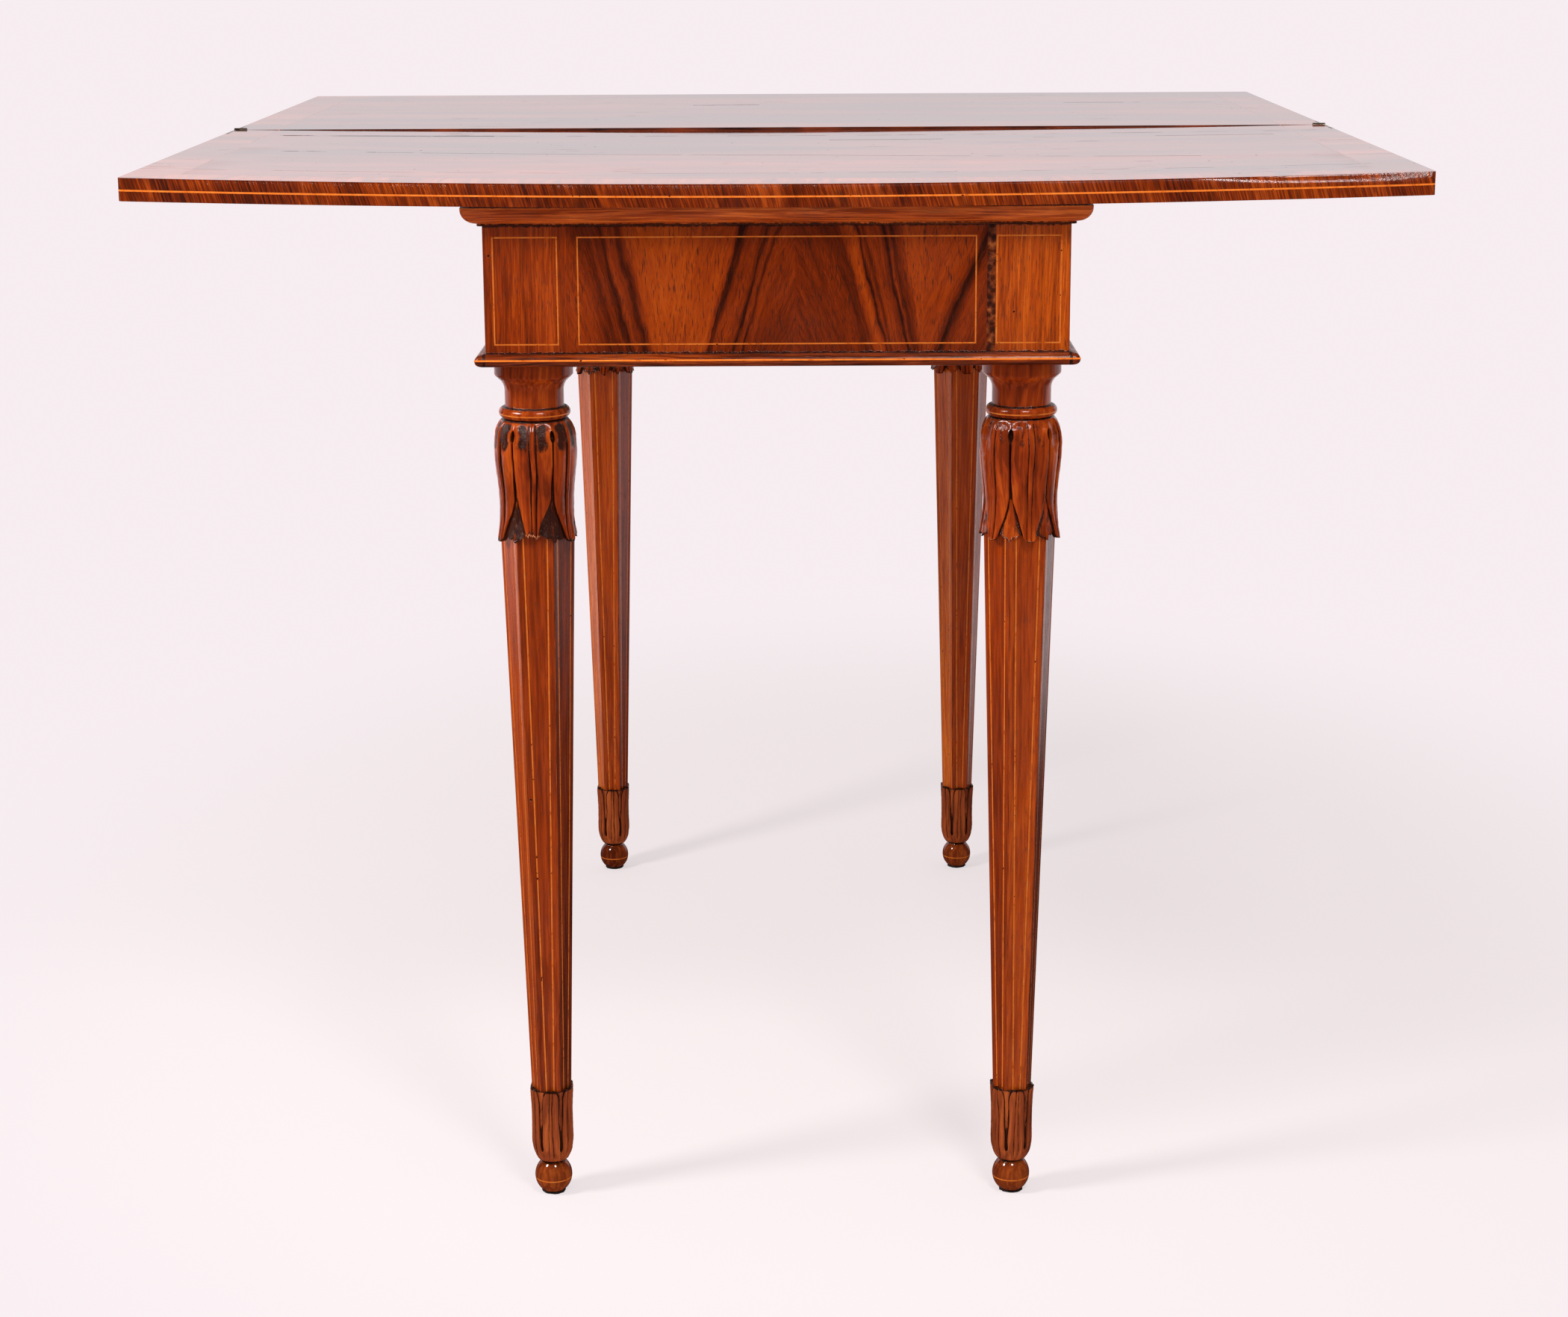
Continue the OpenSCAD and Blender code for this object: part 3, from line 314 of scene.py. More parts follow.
# Dark ragged lines where the mouldings meet the posts and panels
dirtShape = {"ragged": 4.0 * mm, "fromAbove": 1.2 * mm, "fromBelow": 0.8 * mm,
             "cover": 0.85, "crumbs": 14.0}
panelDirt = {"low": baseTop + 0.3 * mm, "high": mouldingFoot - 0.4 * mm}
mouldingDirt = {"low": mouldingFoot + 1.0 * mm, "high": mouldingTop + 0.8 * mm}
baseDirt = {"frame": frameHalf}


def jointDirt(tree, reach):
    place = objectPlace(tree)
    parts = split(tree, place)
    uneven = centred(tree, noise(tree, place, 320.0, 3.0, 0.65), dirtShape["ragged"])
    up = calc(tree, "ADD", parts[2], uneven)
    lines = []
    if "high" in reach:
        lines.append(remap(tree, up, reach["high"] - dirtShape["fromAbove"], reach["high"]))
        lines.append(remap(tree, up, reach["low"] + dirtShape["fromBelow"], reach["low"]))
    for axis, half in enumerate(reach.get("frame", ())):
        off = calc(tree, "SUBTRACT", calc(tree, "ABSOLUTE", parts[axis]), half)
        outside = calc(tree, "GREATER_THAN", off, -0.4 * mm)
        near = remap(tree, calc(tree, "ADD", off, uneven), 2.4 * mm, 1.2 * mm)
        lines.append(calc(tree, "MULTIPLY", outside, near))
    dirt = lines[0]
    for line in lines[1:]:
        dirt = calc(tree, "MAXIMUM", dirt, line)
    return dirt


# The front edge's upper half is worn round towards its right end, with crazed varnish
wornRound = {
    "from": 0.7602,                # m, height where the rounding starts at the leaf's ends
    "reach": (0.28, 0.37),         # m, where it begins along the edge
    "crazed": 0.8 * mm,
    "steep": 1.2645e6,             # bump height for each square metre above that line
    "frontOnly": 0.01,             # m, how deep into the leaf it reaches
}


def wornEnd(tree):
    s = wornRound
    place = objectPlace(tree)
    parts = split(tree, place)
    share = calc(tree, "DIVIDE", parts[0], leafHalf)
    middle = calc(tree, "SUBTRACT", 1.0, calc(tree, "MULTIPLY", share, share))
    above = calc(tree, "ADD", parts[2], calc(tree, "MULTIPLY", middle, leafBow))
    crazed = noise(tree, scaled(tree, place, (0.6, 1, 1)), 700.0, 3.0, 0.6)
    above = calc(tree, "ADD", calc(tree, "SUBTRACT", above, s["from"]), centred(tree, crazed, s["crazed"]))
    above = calc(tree, "MAXIMUM", above, 0.0)
    near = calc(tree, "MULTIPLY", remap(tree, parts[0], *s["reach"]),
                calc(tree, "LESS_THAN", parts[1], s["frontOnly"] - leafDepth))
    return calc(tree, "MULTIPLY", calc(tree, "MULTIPLY", calc(tree, "MULTIPLY", above, above), near),
                s["steep"])


# Old polish over the wood
polish = {
    "smudge": 0.12,          # how much duller smudged patches are
    "dullPores": 0.15,
    "relief": 0.5,
    "unit": 0.00008,         # m, one unit of bump height
    "fibre": 0.25, "holes": 12.0,   # in that unit
    "ior": 1.42,
}


def finishWood(tree, shader, place, colour, grain, look):
    height = calc(tree, "SUBTRACT", calc(tree, "MULTIPLY", grain["Fibre"], polish["fibre"]), grain["Pores"])
    if "dirt" in look:
        dirt = jointDirt(tree, look["dirt"])
        colour = blendColours(tree, calc(tree, "MULTIPLY", dirt, dirtShape["cover"]), colour, tone["black"])
        crumbs = calc(tree, "MULTIPLY", dirt, noise(tree, objectPlace(tree), 800.0, 2.0, 0.6))
        height = calc(tree, "ADD", height, calc(tree, "MULTIPLY", crumbs, dirtShape["crumbs"]))
    if look.get("worn"):
        height = calc(tree, "SUBTRACT", height, wornEnd(tree))
    age = useGroup(tree, oldSurface, Vector=place, Holes=look.get("holes", 0.0),
                   Specks=look.get("specks", 0.3))
    colour = blendColours(tree, calc(tree, "MULTIPLY", grain["Pores"], look.get("pores", 0.35)), colour,
                          tone["streak"])
    for mark in ("Specks", "Holes"):
        colour = blendColours(tree, age[mark], colour, tone["black"])
    sheen = remap(tree, age["Smudge"], 0.3, 0.7, look["gloss"], look["gloss"] + polish["smudge"])
    dull = calc(tree, "MULTIPLY", grain["Pores"], polish["dullPores"])
    height = calc(tree, "SUBTRACT", height, calc(tree, "MULTIPLY", age["Holes"], polish["holes"]))
    feed(tree, shader.inputs, {"Base Color": colour,
                               "Roughness": calc(tree, "ADD", sheen, dull, clamp=True),
                               "Normal": bumpNormal(tree, height, polish["relief"], polish["unit"]),
                               "IOR": polish["ior"]})


def makeWalnut(name, look):
    material, tree, shader = startMaterial(name)
    place = objectPlace(tree, look.get("turn", upright))
    grain = grainOf(tree, place, look)
    finishWood(tree, shader, place, woodColour(tree, grain, look), grain, look)
    return material


post = {"dirt": panelDirt, "stretch": 14, "wander": 0.002, "ring": 0.0012, "gloss": 0.12,
        "figureShare": 0.5, "pores": 0.6}
shaft = {"figure": 0.016, "stretch": 24, "wander": 0.002, "ring": 0.0018, "figureShare": 0.5}
# Paler than the other walnut: partly the mouldings' own tone, partly painted light that makes up for the
# shade under the top's overhang
moulding = {"dirt": mouldingDirt, "figure": 0.009, "stretch": 9, "wander": 0.003, "ring": 0.0016,
            "gloss": 0.13, "streaks": 0.4, "figureShare": 0.5,
            "colours": evenStops((0.30, 0.042, 0.005), (0.50, 0.085, 0.012), (0.68, 0.145, 0.022))}
base = {"dirt": baseDirt, "figure": 0.008, "stretch": 9, "wander": 0.003, "ring": 0.0012,
        "gloss": 0.15, "streaks": 0.6, "figureShare": 0.5,
        "colours": evenStops((0.06, 0.008, 0.002), (0.17, 0.023, 0.003), (0.33, 0.055, 0.007))}
crossband = {"figure": 0.030, "stretch": 2.4, "wander": 0.004, "ring": 0.0011, "gloss": 0.12,
             "streaks": 0.6, "figureShare": 0.55, "pores": 0.5,
             "colours": [(0.05, (0.05, 0.007, 0.002)), (0.35, (0.13, 0.015, 0.002)),
                         (0.6, (0.22, 0.028, 0.002)), (0.9, (0.37, 0.060, 0.005))]}
crossLean = 18    # degrees that the crossbands' grain leans from upright
walnutLooks = {
    "postRed": {**post, "figure": 0.022, "streaks": 0.35, "holes": 0.10,
                "colours": evenStops((0.17, 0.020, 0.002), (0.27, 0.032, 0.002), (0.39, 0.056, 0.003))},
    "postGolden": {**post, "figure": 0.018, "streaks": 0.25, "holes": 0.30, "seed": 3.0,
                   "colours": evenStops((0.30, 0.038, 0.002), (0.42, 0.064, 0.003), (0.56, 0.100, 0.005))},
    # Shaft tones, partly the wood's own and partly painted light: the paler ones go on lit facets, the dark
    # one on shaded facets
    "shaftMid": {**shaft, "gloss": 0.14, "streaks": 0.2, "holes": 0.08, "seed": 1.5,
                 "colours": evenStops((0.16, 0.018, 0.002), (0.24, 0.029, 0.002), (0.33, 0.043, 0.003))},
    "shaftGoldenLit": {**shaft, "gloss": 0.14, "streaks": 0.15, "holes": 0.08,
                    "colours": evenStops((0.27, 0.034, 0.003), (0.37, 0.051, 0.004), (0.46, 0.075, 0.006))},
    "shaftDarkShaded": {**shaft, "figure": 0.014, "gloss": 0.16, "streaks": 0.3, "holes": 0.05, "seed": 4.0,
                  "colours": evenStops((0.09, 0.011, 0.002), (0.15, 0.019, 0.002), (0.22, 0.029, 0.003))},
    "shaftPaleLit": {**shaft, "gloss": 0.16, "streaks": 0.15, "holes": 0.05, "seed": 8.0,
                  "colours": evenStops((0.40, 0.060, 0.005), (0.54, 0.10, 0.010), (0.66, 0.15, 0.018))},
    "mouldingWalnutLit": {**moulding, "turn": alongX},
    "sideMouldingWalnutLit": {**moulding, "turn": alongY},
    "baseWalnut": {**base, "turn": alongX},
    "sideBaseWalnut": {**base, "turn": alongY},
    "underWalnut": {"turn": alongX, "figure": 0.04, "stretch": 6, "wander": 0.01, "ring": 0.005,
                    "gloss": 0.45, "streaks": 0.3,
                    "colours": evenStops((0.12, 0.026, 0.006), (0.20, 0.045, 0.010), (0.29, 0.07, 0.016))},
    # Painted shade: the leaves' butt edges at the hinge line are darkened for the shade in the narrow gap
    # between the leaves, over the edge's own dark wood
    "shadedButtWalnut": {"turn": alongX, "figure": 0.012, "stretch": 5, "wander": 0.004, "ring": 0.002,
                   "gloss": 0.35, "streaks": 0.7,
                   "colours": evenStops((0.02, 0.004, 0.002), (0.10, 0.014, 0.003), (0.22, 0.033, 0.006))},
    "frontCrossband": {**crossband, "turn": (0, crossLean, 0), "worn": True},
    "sideCrossband": {**crossband, "turn": (crossLean, 0, 0)},
    # Painted shade: a dark line on the bandings' upper arris, standing in for the dark room that the
    # rounded edge mirrors
    "shadedArris": {"figure": 0.02, "stretch": 3, "wander": 0.004, "ring": 0.003, "gloss": 0.32,
                  "streaks": 0.8, "colours": evenStops((0.02, 0.004, 0.002), (0.07, 0.011, 0.003))},
    "wornArris": {"figure": 0.012, "stretch": 3, "wander": 0.004, "ring": 0.003, "gloss": 0.14,
                  "streaks": 0.3, "colours": evenStops((0.14, 0.019, 0.003), (0.40, 0.066, 0.006))},
    "innerOak": {"turn": alongX, "figure": 0.03, "stretch": 8, "wander": 0.005, "ring": 0.0035,
                 "gloss": 0.55, "streaks": 0.15,
                 "colours": evenStops((0.24, 0.13, 0.055), (0.36, 0.20, 0.09), (0.47, 0.28, 0.13))},
}
wood = {name: makeWalnut(name, look) for name, look in walnutLooks.items()}


# How pale each veneer leaf is, by the distance in mm from its flame's middle line
panelFigure = {
    "leaves": [
        [(-50, 0.50), (0, 0.55), (20, 0.50), (30, 0.30), (36, 0.22), (40, 0.40), (44, 0.25), (46, 0.10),
         (50, 0.60), (54, 0.42), (58, 0.15), (61, 0.42), (64, 0.78), (75, 0.88), (89, 0.88)],
        [(-50, 0.50), (0, 0.40), (10, 0.50), (13, 0.48), (15, 0.10), (17, 0.45), (20, 0.45), (22, 0.05),
         (25, 0.42), (30, 0.55), (36.5, 0.48), (39, 0.12), (41.2, 0.0), (43, 0.55), (46, 0.76), (60, 0.74),
         (75, 0.84), (89, 0.88)],
        [(-50, 0.45), (0, 0.38), (10, 0.30), (20, 0.42), (30, 0.25), (34, 0.32), (37, 0.62), (41, 0.85),
         (44, 0.65), (46, 0.06), (48, 0.50), (50, 0.25), (52, 0.55), (58, 0.48), (62, 0.36), (64, 0.0),
         (66, 0.42), (68, 0.10), (71, 0.32), (75, 0.50), (77, 0.78), (89, 0.84)],
        [(-50, 0.45), (0, 0.50), (20, 0.42), (35, 0.50), (42, 0.42), (45.5, 0.15), (48, 0.0), (51, 0.25),
         (55, 0.60), (60, 0.68), (89, 0.74)],
    ],
    "reach": (-50, 89),
    "tones": [(0.02, (0.030, 0.005, 0.002)), (0.20, (0.085, 0.010, 0.0015)),
              (0.42, (0.165, 0.0185, 0.0015)), (0.62, (0.25, 0.030, 0.002)),
              (0.82, (0.32, 0.043, 0.002)), (1.0, (0.40, 0.062, 0.003))],
    "wideRagged": 10 * mm, "tightRagged": 2.4 * mm,     # how far the streaks stray from their lines
    "clouds": 0.50, "streaks": 0.70, "lines": 0.56,     # how much paler or darker each makes the wood
    "flow": 0.07,                                       # how little the streaks change along their way
    "figure": 0.018, "stretch": 10.0, "wander": 0.002, "ring": 0.0014, "seed": 6.0,
    "dirt": panelDirt, "gloss": 0.12, "pores": 0.85, "holes": 0.05, "specks": 0.35,
}


def leafLevel(tree, contour, stops):
    first, last = panelFigure["reach"]
    share = calc(tree, "DIVIDE", calc(tree, "SUBTRACT", contour, first * mm), (last - first) * mm)
    shades = [((place - first) / (last - first), (pale, pale, pale)) for place, pale in stops]
    return split(tree, ramp(tree, share, shades))[0]


def makePanelVeneer(name, axis):
    # The frame's face veneer, book-matched along X or Y of the table
    s = panelFigure
    material, tree, shader = startMaterial(name)
    place = objectPlace(tree)
    parts = split(tree, place)
    wide = noise(tree, scaled(tree, place, (1, 1, 0.30)), 45.0, 3.0, 0.55)
    tight = noise(tree, scaled(tree, place, (1, 1, 0.12)), 420.0, 3.0, 0.6)
    ragged = calc(tree, "ADD", centred(tree, wide, s["wideRagged"]), centred(tree, tight, s["tightRagged"]))
    match = useGroup(tree, bookMatch, Along=parts[axis], Up=parts[2], Ragged=ragged)
    flowing = joined(tree, match["Contour"], calc(tree, "MULTIPLY", parts[2], s["flow"]),
                     calc(tree, "MULTIPLY", match["Leaf"], 0.3))
    level = leafLevel(tree, match["Contour"], s["leaves"][0])
    for number in (1, 2, 3):
        here = calc(tree, "GREATER_THAN", match["Leaf"], number - 0.5)
        level = pick(tree, here, level, leafLevel(tree, match["Contour"], s["leaves"][number]))
    shades = {"clouds": noise(tree, scaled(tree, place, (1, 1, 0.5)), 26.0, 3.0, 0.6),
              "streaks": noise(tree, flowing, 260.0, 4.0, 0.65, 0.2),
              "lines": noise(tree, flowing, 1100.0, 2.0, 0.6)}
    for shade, value in shades.items():
        level = calc(tree, "ADD", level, centred(tree, value, s[shade]))
    colour = ramp(tree, level, s["tones"], "LINEAR")
    finishWood(tree, shader, place, colour, grainOf(tree, place, s), s)
    return material


wood["panelVeneer"] = makePanelVeneer("panelVeneer", 0)
wood["sidePanelVeneer"] = makePanelVeneer("sidePanelVeneer", 1)


def makeBoxwood(name, pale):
    material, tree, shader = startMaterial(name)
    place = objectPlace(tree)
    spots = noise(tree, place, 160.0, 3.0, 0.6)
    gaps = noise(tree, place, 420.0, 1.0, 0.4)
    colour = ramp(tree, spots, [(0.28, (0.55, 0.11, 0.012)), (0.45, tone["string"]),
                                (0.75, (0.95, 0.28, 0.04))])
    colour = blendColours(tree, remap(tree, gaps, 0.70, 0.76), colour, tone["gap"])
    feed(tree, shader.inputs, {"Base Color": brighten(tree, colour, pale),
                               "Roughness": remap(tree, spots, 0.3, 0.7, 0.08, 0.2),
                               "Normal": bumpNormal(tree, spots, 0.15, 0.0001),
                               "IOR": polish["ior"]})
    return material


# French polish over walnut: slow waves along the leaf, cupped boards, dark marks and painted reflection
# bands
topFinish = {
    "figure": 0.04, "stretch": 7.0, "wander": 0.012, "ring": 0.004, "streaks": 0.6, "fibre": 0,
    "face": evenStops((0.12, 0.018, 0.003), (0.22, 0.030, 0.004), (0.34, 0.050, 0.006)),
    "band": evenStops((0.20, 0.028, 0.004), (0.32, 0.048, 0.006), (0.46, 0.085, 0.010)),
    "reflectionBands": (0.30, 1.10),       # brightness of the dark and pale bands along the leaf, a painted reflection
    "gloss": 0.05, "smudge": 0.03, "dullMarks": 0.6,
    "relief": 0.0025,            # m, height scale of the bump
    "cup": 0.24,                 # how far a board has cupped, in that scale
    "ripple": 0.015, "markDepth": 0.16,
    "joint": (-0.233, -0.133),   # the front board's joint: Y at X = 0, and its slope
    "rearRise": 0.9,             # how much steeper the next board rises than the front one dips
    "ior": 1.5,
}


def makeTopFace(name, turn, colours, seed):
    s = topFinish
    material, tree, shader = startMaterial(name)
    grain = grainOf(tree, objectPlace(tree, turn), {**s, "seed": seed})
    table = objectPlace(tree)
    marks = useGroup(tree, topMarks, Vector=table)
    reflectionBands = noise(tree, scaled(tree, table, (0.15, 1, 1)), 11.0, 2.0, 0.5)
    smudge = noise(tree, scaled(tree, table, (0.5, 1, 1)), 9.0, 4.0, 0.6)
    slow = noise(tree, scaled(tree, table, (0.22, 1, 1)), 7.0, 1.0, 0.4)
    fine = noise(tree, scaled(tree, table, (0.6, 1, 1)), 40.0, 2.0, 0.5)
    # Painted reflection: the wood is made paler and darker in bands along the leaf, for the bands that the
    # polish mirrors
    colour = brighten(tree, woodColour(tree, grain, {**s, "colours": colours}),
                      remap(tree, reflectionBands, 0.34, 0.66, *s["reflectionBands"]))
    rough = calc(tree, "ADD", remap(tree, smudge, 0.35, 0.7, s["gloss"], s["gloss"] + s["smudge"]),
                 calc(tree, "MULTIPLY", marks["Dark"], s["dullMarks"]), clamp=True)
    height = calc(tree, "MULTIPLY_ADD", fine, s["ripple"], slow)
    height = calc(tree, "ADD", height, calc(tree, "MULTIPLY", marks["Cup"], s["cup"]))
    height = calc(tree, "SUBTRACT", height, calc(tree, "MULTIPLY", marks["Dark"], s["markDepth"]))
    feed(tree, shader.inputs, {"Base Color": blendColours(tree, marks["Dark"], colour, tone["black"]),
                               "Roughness": rough,
                               "Normal": bumpNormal(tree, height, 1.0, s["relief"]),
                               "IOR": s["ior"]})
    return material


# Old splits and board joints in the top: their ends, half width and wobble in mm
topLines = [
    {"from": (-420, -57), "to": (440, -57), "half": 0.9, "wobble": 3, "gaps": 0.50, "depth": 0.8},
    {"from": (-400, -60), "to": (-230, -58), "half": 2.2, "wobble": 4, "gaps": 0.62, "depth": 1.0},
    {"from": (-440, -205), "to": (-305, -214), "half": 1.4, "wobble": 4, "gaps": 0.50, "depth": 0.9},
    {"from": (-305, -214), "to": (33, -233), "half": 0.8, "wobble": 2, "gaps": 0.66, "depth": 0.6},
    {"from": (33, -233), "to": (312, -278), "half": 0.8, "wobble": 2, "gaps": 0.60, "depth": 0.6},
    {"from": (300, -91), "to": (394, -91), "half": 1.0, "wobble": 1, "gaps": 0.75, "depth": 0.7},
    {"from": (-420, -373), "to": (420, -373), "half": 0.6, "wobble": 2, "gaps": 0.52, "depth": 0.5},
    {"from": (40, -100), "to": (130, -98), "half": 1.2, "wobble": 2, "gaps": 0.60, "depth": 0.8},
    {"from": (-80, 285), "to": (-20, 288), "half": 2.0, "wobble": 3, "gaps": 0.60, "depth": 0.7},
    {"from": (260, 300), "to": (330, 298), "half": 1.6, "wobble": 3, "gaps": 0.60, "depth": 0.7},
    {"from": (-300, 120), "to": (-220, 122), "half": 1.0, "wobble": 2, "gaps": 0.55, "depth": 0.6},
]


def buildTopMarks():
    # Cracks, joint lines and scratches of the open top, by their place on the table in metres
    tree, inside, out = newGroup("topMarks", [("Vector", "Vector", None)], ["Dark", "Cup"])
    parts = split(tree, inside["Vector"])
    # The front board dips in its middle, and the next one rises towards the hinge line
    middle, slope = topFinish["joint"]
    joint = calc(tree, "MULTIPLY_ADD", parts[0], slope, middle)
    share = remap(tree, parts[1], -leafDepth, joint, -1.0, 1.0, "LINEAR")
    dish = calc(tree, "MULTIPLY", calc(tree, "MULTIPLY", share, share), share)
    rest = remap(tree, parts[1], joint, 0.0, 0.0, 1.0, "LINEAR")
    rise = calc(tree, "MULTIPLY_ADD", calc(tree, "MULTIPLY", rest, rest), topFinish["rearRise"], 1.0)
    cup = pick(tree, calc(tree, "LESS_THAN", parts[1], joint), rise, dish)
    frontLeaf = calc(tree, "LESS_THAN", parts[1], 0.0)
    shake = noise(tree, inside["Vector"], 30.0, 3.0, 0.6)
    broken = noise(tree, scaled(tree, inside["Vector"], (1, 4, 1)), 26.0, 3.0, 0.6)
    total = 0.0
    for mark in topLines:
        x0, y0, x1, y1 = [place * mm for place in mark["from"] + mark["to"]]
        half = mark["half"] * mm
        slope = (y1 - y0) / (x1 - x0)
        straight = calc(tree, "MULTIPLY_ADD", parts[0], slope, y0 - slope * x0)
        crooked = calc(tree, "ADD", straight, centred(tree, shake, mark["wobble"] * mm))
        off = calc(tree, "ABSOLUTE", calc(tree, "SUBTRACT", parts[1], crooked))
        span = calc(tree, "MULTIPLY", calc(tree, "GREATER_THAN", parts[0], x0),
                    calc(tree, "LESS_THAN", parts[0], x1))
        dashed = remap(tree, broken, mark["gaps"], mark["gaps"] - 0.08)
        line = calc(tree, "MULTIPLY", calc(tree, "MULTIPLY", remap(tree, off, half, half / 2), span),
                    calc(tree, "MULTIPLY", dashed, mark["depth"]))
        total = calc(tree, "MAXIMUM", total, line)
    scratches = noise(tree, scaled(tree, inside["Vector"], (0.05, 1, 1)), 420.0, 1.0, 0.4)
    where = noise(tree, inside["Vector"], 11.0, 2.0, 0.5)
    specks = noise(tree, inside["Vector"], 240.0, 1.0, 0.4)
    worn = calc(tree, "MULTIPLY", remap(tree, scratches, 0.72, 0.78), remap(tree, where, 0.56, 0.66))
    total = calc(tree, "MAXIMUM", total, calc(tree, "MULTIPLY", worn, 0.5))
    total = calc(tree, "MAXIMUM", total, calc(tree, "MULTIPLY", remap(tree, specks, 0.80, 0.84), 0.8))
    feed(tree, out, {"Dark": total, "Cup": calc(tree, "MULTIPLY", cup, frontLeaf)})
    return tree


topMarks = buildTopMarks()
wood["leafWalnut"] = makeTopFace("leafWalnut", alongX, topFinish["face"], 0.0)
wood["frontBanding"] = makeTopFace("frontBanding", alongY, topFinish["band"], 2.0)
wood["sideBanding"] = makeTopFace("sideBanding", alongX, topFinish["band"], 3.0)


def makeBurr():
    material, tree, shader = startMaterial("burrVeneer")
    place = objectPlace(tree)
    knots = put(tree, "TexVoronoi", {"Vector": place, "Scale": 210.0, "Randomness": 1.0})
    swirl = noise(tree, place, 120.0, 5.0, 0.7, 1.5)
    level = calc(tree, "MULTIPLY_ADD", knots.outputs["Distance"], 0.45, calc(tree, "MULTIPLY", swirl, 0.6))
    colour = ramp(tree, level, [(0.25, tone["black"]), (0.46, (0.05, 0.008, 0.002)),
                                (0.60, (0.16, 0.028, 0.004)), (0.76, (0.36, 0.09, 0.012))])
    feed(tree, shader.inputs, {"Base Color": colour, "Roughness": remap(tree, swirl, 0.3, 0.7, 0.16, 0.4),
                               "Normal": bumpNormal(tree, level, 0.5, 0.0002)})
    return material


def makeMetal(name, clean, tarnished, rough, patch):
    material, tree, shader = startMaterial(name)
    place = objectPlace(tree)
    share = remap(tree, noise(tree, place, patch, 5.0, 0.65, 0.5), 0.36, 0.64)
    grit = noise(tree, place, 2600.0, 3.0, 0.6)
    feed(tree, shader.inputs, {"Base Color": blendColours(tree, share, (*clean, 1), tarnished),
                               "Roughness": calc(tree, "MULTIPLY_ADD", share, 0.3, rough),
                               "Metallic": calc(tree, "MULTIPLY_ADD", share, -0.35, 1.0),
                               "Normal": bumpNormal(tree, grit, 0.35, 0.00008)})
    return material


def makeFelt():
    material, tree, shader = startMaterial("footFelt")
    fluff = noise(tree, objectPlace(tree), 1500.0, 4.0, 0.7)
    colour = ramp(tree, fluff, [(0.3, (0.006, 0.005, 0.004)), (0.7, (0.03, 0.024, 0.02))])
    feed(tree, shader.inputs, {"Base Color": colour, "Roughness": 0.9,
                               "Normal": bumpNormal(tree, fluff, 0.8, 0.0005)})
    return material


for name, pale in (("boxwoodString", 1.0), ("leafString", 0.30), ("agedString", 0.72)):
    wood[name] = makeBoxwood(name, pale)
wood["burrVeneer"] = makeBurr()
brass = makeMetal("tarnishedBrass", (0.34, 0.25, 0.17), (0.10, 0.075, 0.06), 0.16, 260.0)
iron = makeMetal("blackenedIron", (0.16, 0.15, 0.14), (0.05, 0.035, 0.028), 0.42, 180.0)
felt = makeFelt()

carving = {"wander": 0.006, "ring": 0.003, "figureShare": 0.55, "streaks": 0.35}
carvedLooks = {
    "carvedWalnut": {**carving, "figure": 0.02, "stretch": 3.5, "seed": 2.0, "gloss": 0.13, "crumbs": 0.4,
                     "colours": evenStops((0.15, 0.019, 0.003), (0.29, 0.036, 0.004),
                                          (0.44, 0.070, 0.006))},
    "carvedCup": {**carving, "figure": 0.014, "stretch": 5, "seed": 5.0, "gloss": 0.17, "crumbs": 0.4,
                  "colours": evenStops((0.18, 0.034, 0.009), (0.31, 0.060, 0.014), (0.43, 0.094, 0.019))},
    "ballWalnut": {**carving, "figure": 0.02, "stretch": 2.5, "seed": 7.0, "gloss": 0.06, "crumbs": 0.03,
                   "colours": evenStops((0.09, 0.013, 0.003), (0.20, 0.034, 0.006), (0.31, 0.062, 0.010))},
}


def makeCarvedWalnut(name, look):
    # A carved piece reads how deep the gouge went from its own recess attribute. Below zero it is
    # bare wood at a break.
    material, tree, shader = startMaterial(name)
    place = objectPlace(tree)
    grain = grainOf(tree, place, look)
    deep = put(tree, "Attribute", attribute_name="recess").outputs["Fac"]
    uneven = noise(tree, scaled(tree, place, (1, 1, 0.35)), 260.0, 3.0, 0.65)
    residue = remap(tree, calc(tree, "ADD", deep, centred(tree, uneven, 1.1)), 0.36, 0.66)
    bare = remap(tree, deep, -0.5, -0.9)
    colour = blendColours(tree, calc(tree, "MULTIPLY", residue, 0.90), woodColour(tree, grain, look),
                          tone["black"])
    dull = calc(tree, "MULTIPLY_ADD", bare, 0.4, calc(tree, "MULTIPLY_ADD", residue, 0.02, look["gloss"]))
    rugged = calc(tree, "MULTIPLY_ADD", residue, 2.6, look["crumbs"])
    crumbs = calc(tree, "MULTIPLY", noise(tree, place, 900.0, 3.0, 0.65), rugged)
    height = calc(tree, "MULTIPLY_ADD", grain["Fibre"], 0.3 * look["crumbs"], crumbs)
    feed(tree, shader.inputs, {"Base Color": blendColours(tree, bare, colour, tone["bare"]),
                               "Roughness": dull,
                               "Normal": bumpNormal(tree, height, 0.7, 0.0003), "IOR": 1.45})
    return material


for name, look in carvedLooks.items():
    wood[name] = makeCarvedWalnut(name, look)
print("materials made")


def clearSelection():
    bpy.ops.object.select_all(action="DESELECT")


def makeActive(piece):
    clearSelection()
    piece.select_set(True)
    bpy.context.view_layer.objects.active = piece


def edgesWhere(mesh, test):
    # The keys of the edges whose two ends pass a test
    found = set()
    for edge in mesh.edges:
        a, b = [mesh.vertices[end].co for end in edge.vertices]
        if test(a, b):
            found.add(edge.key)
    return found


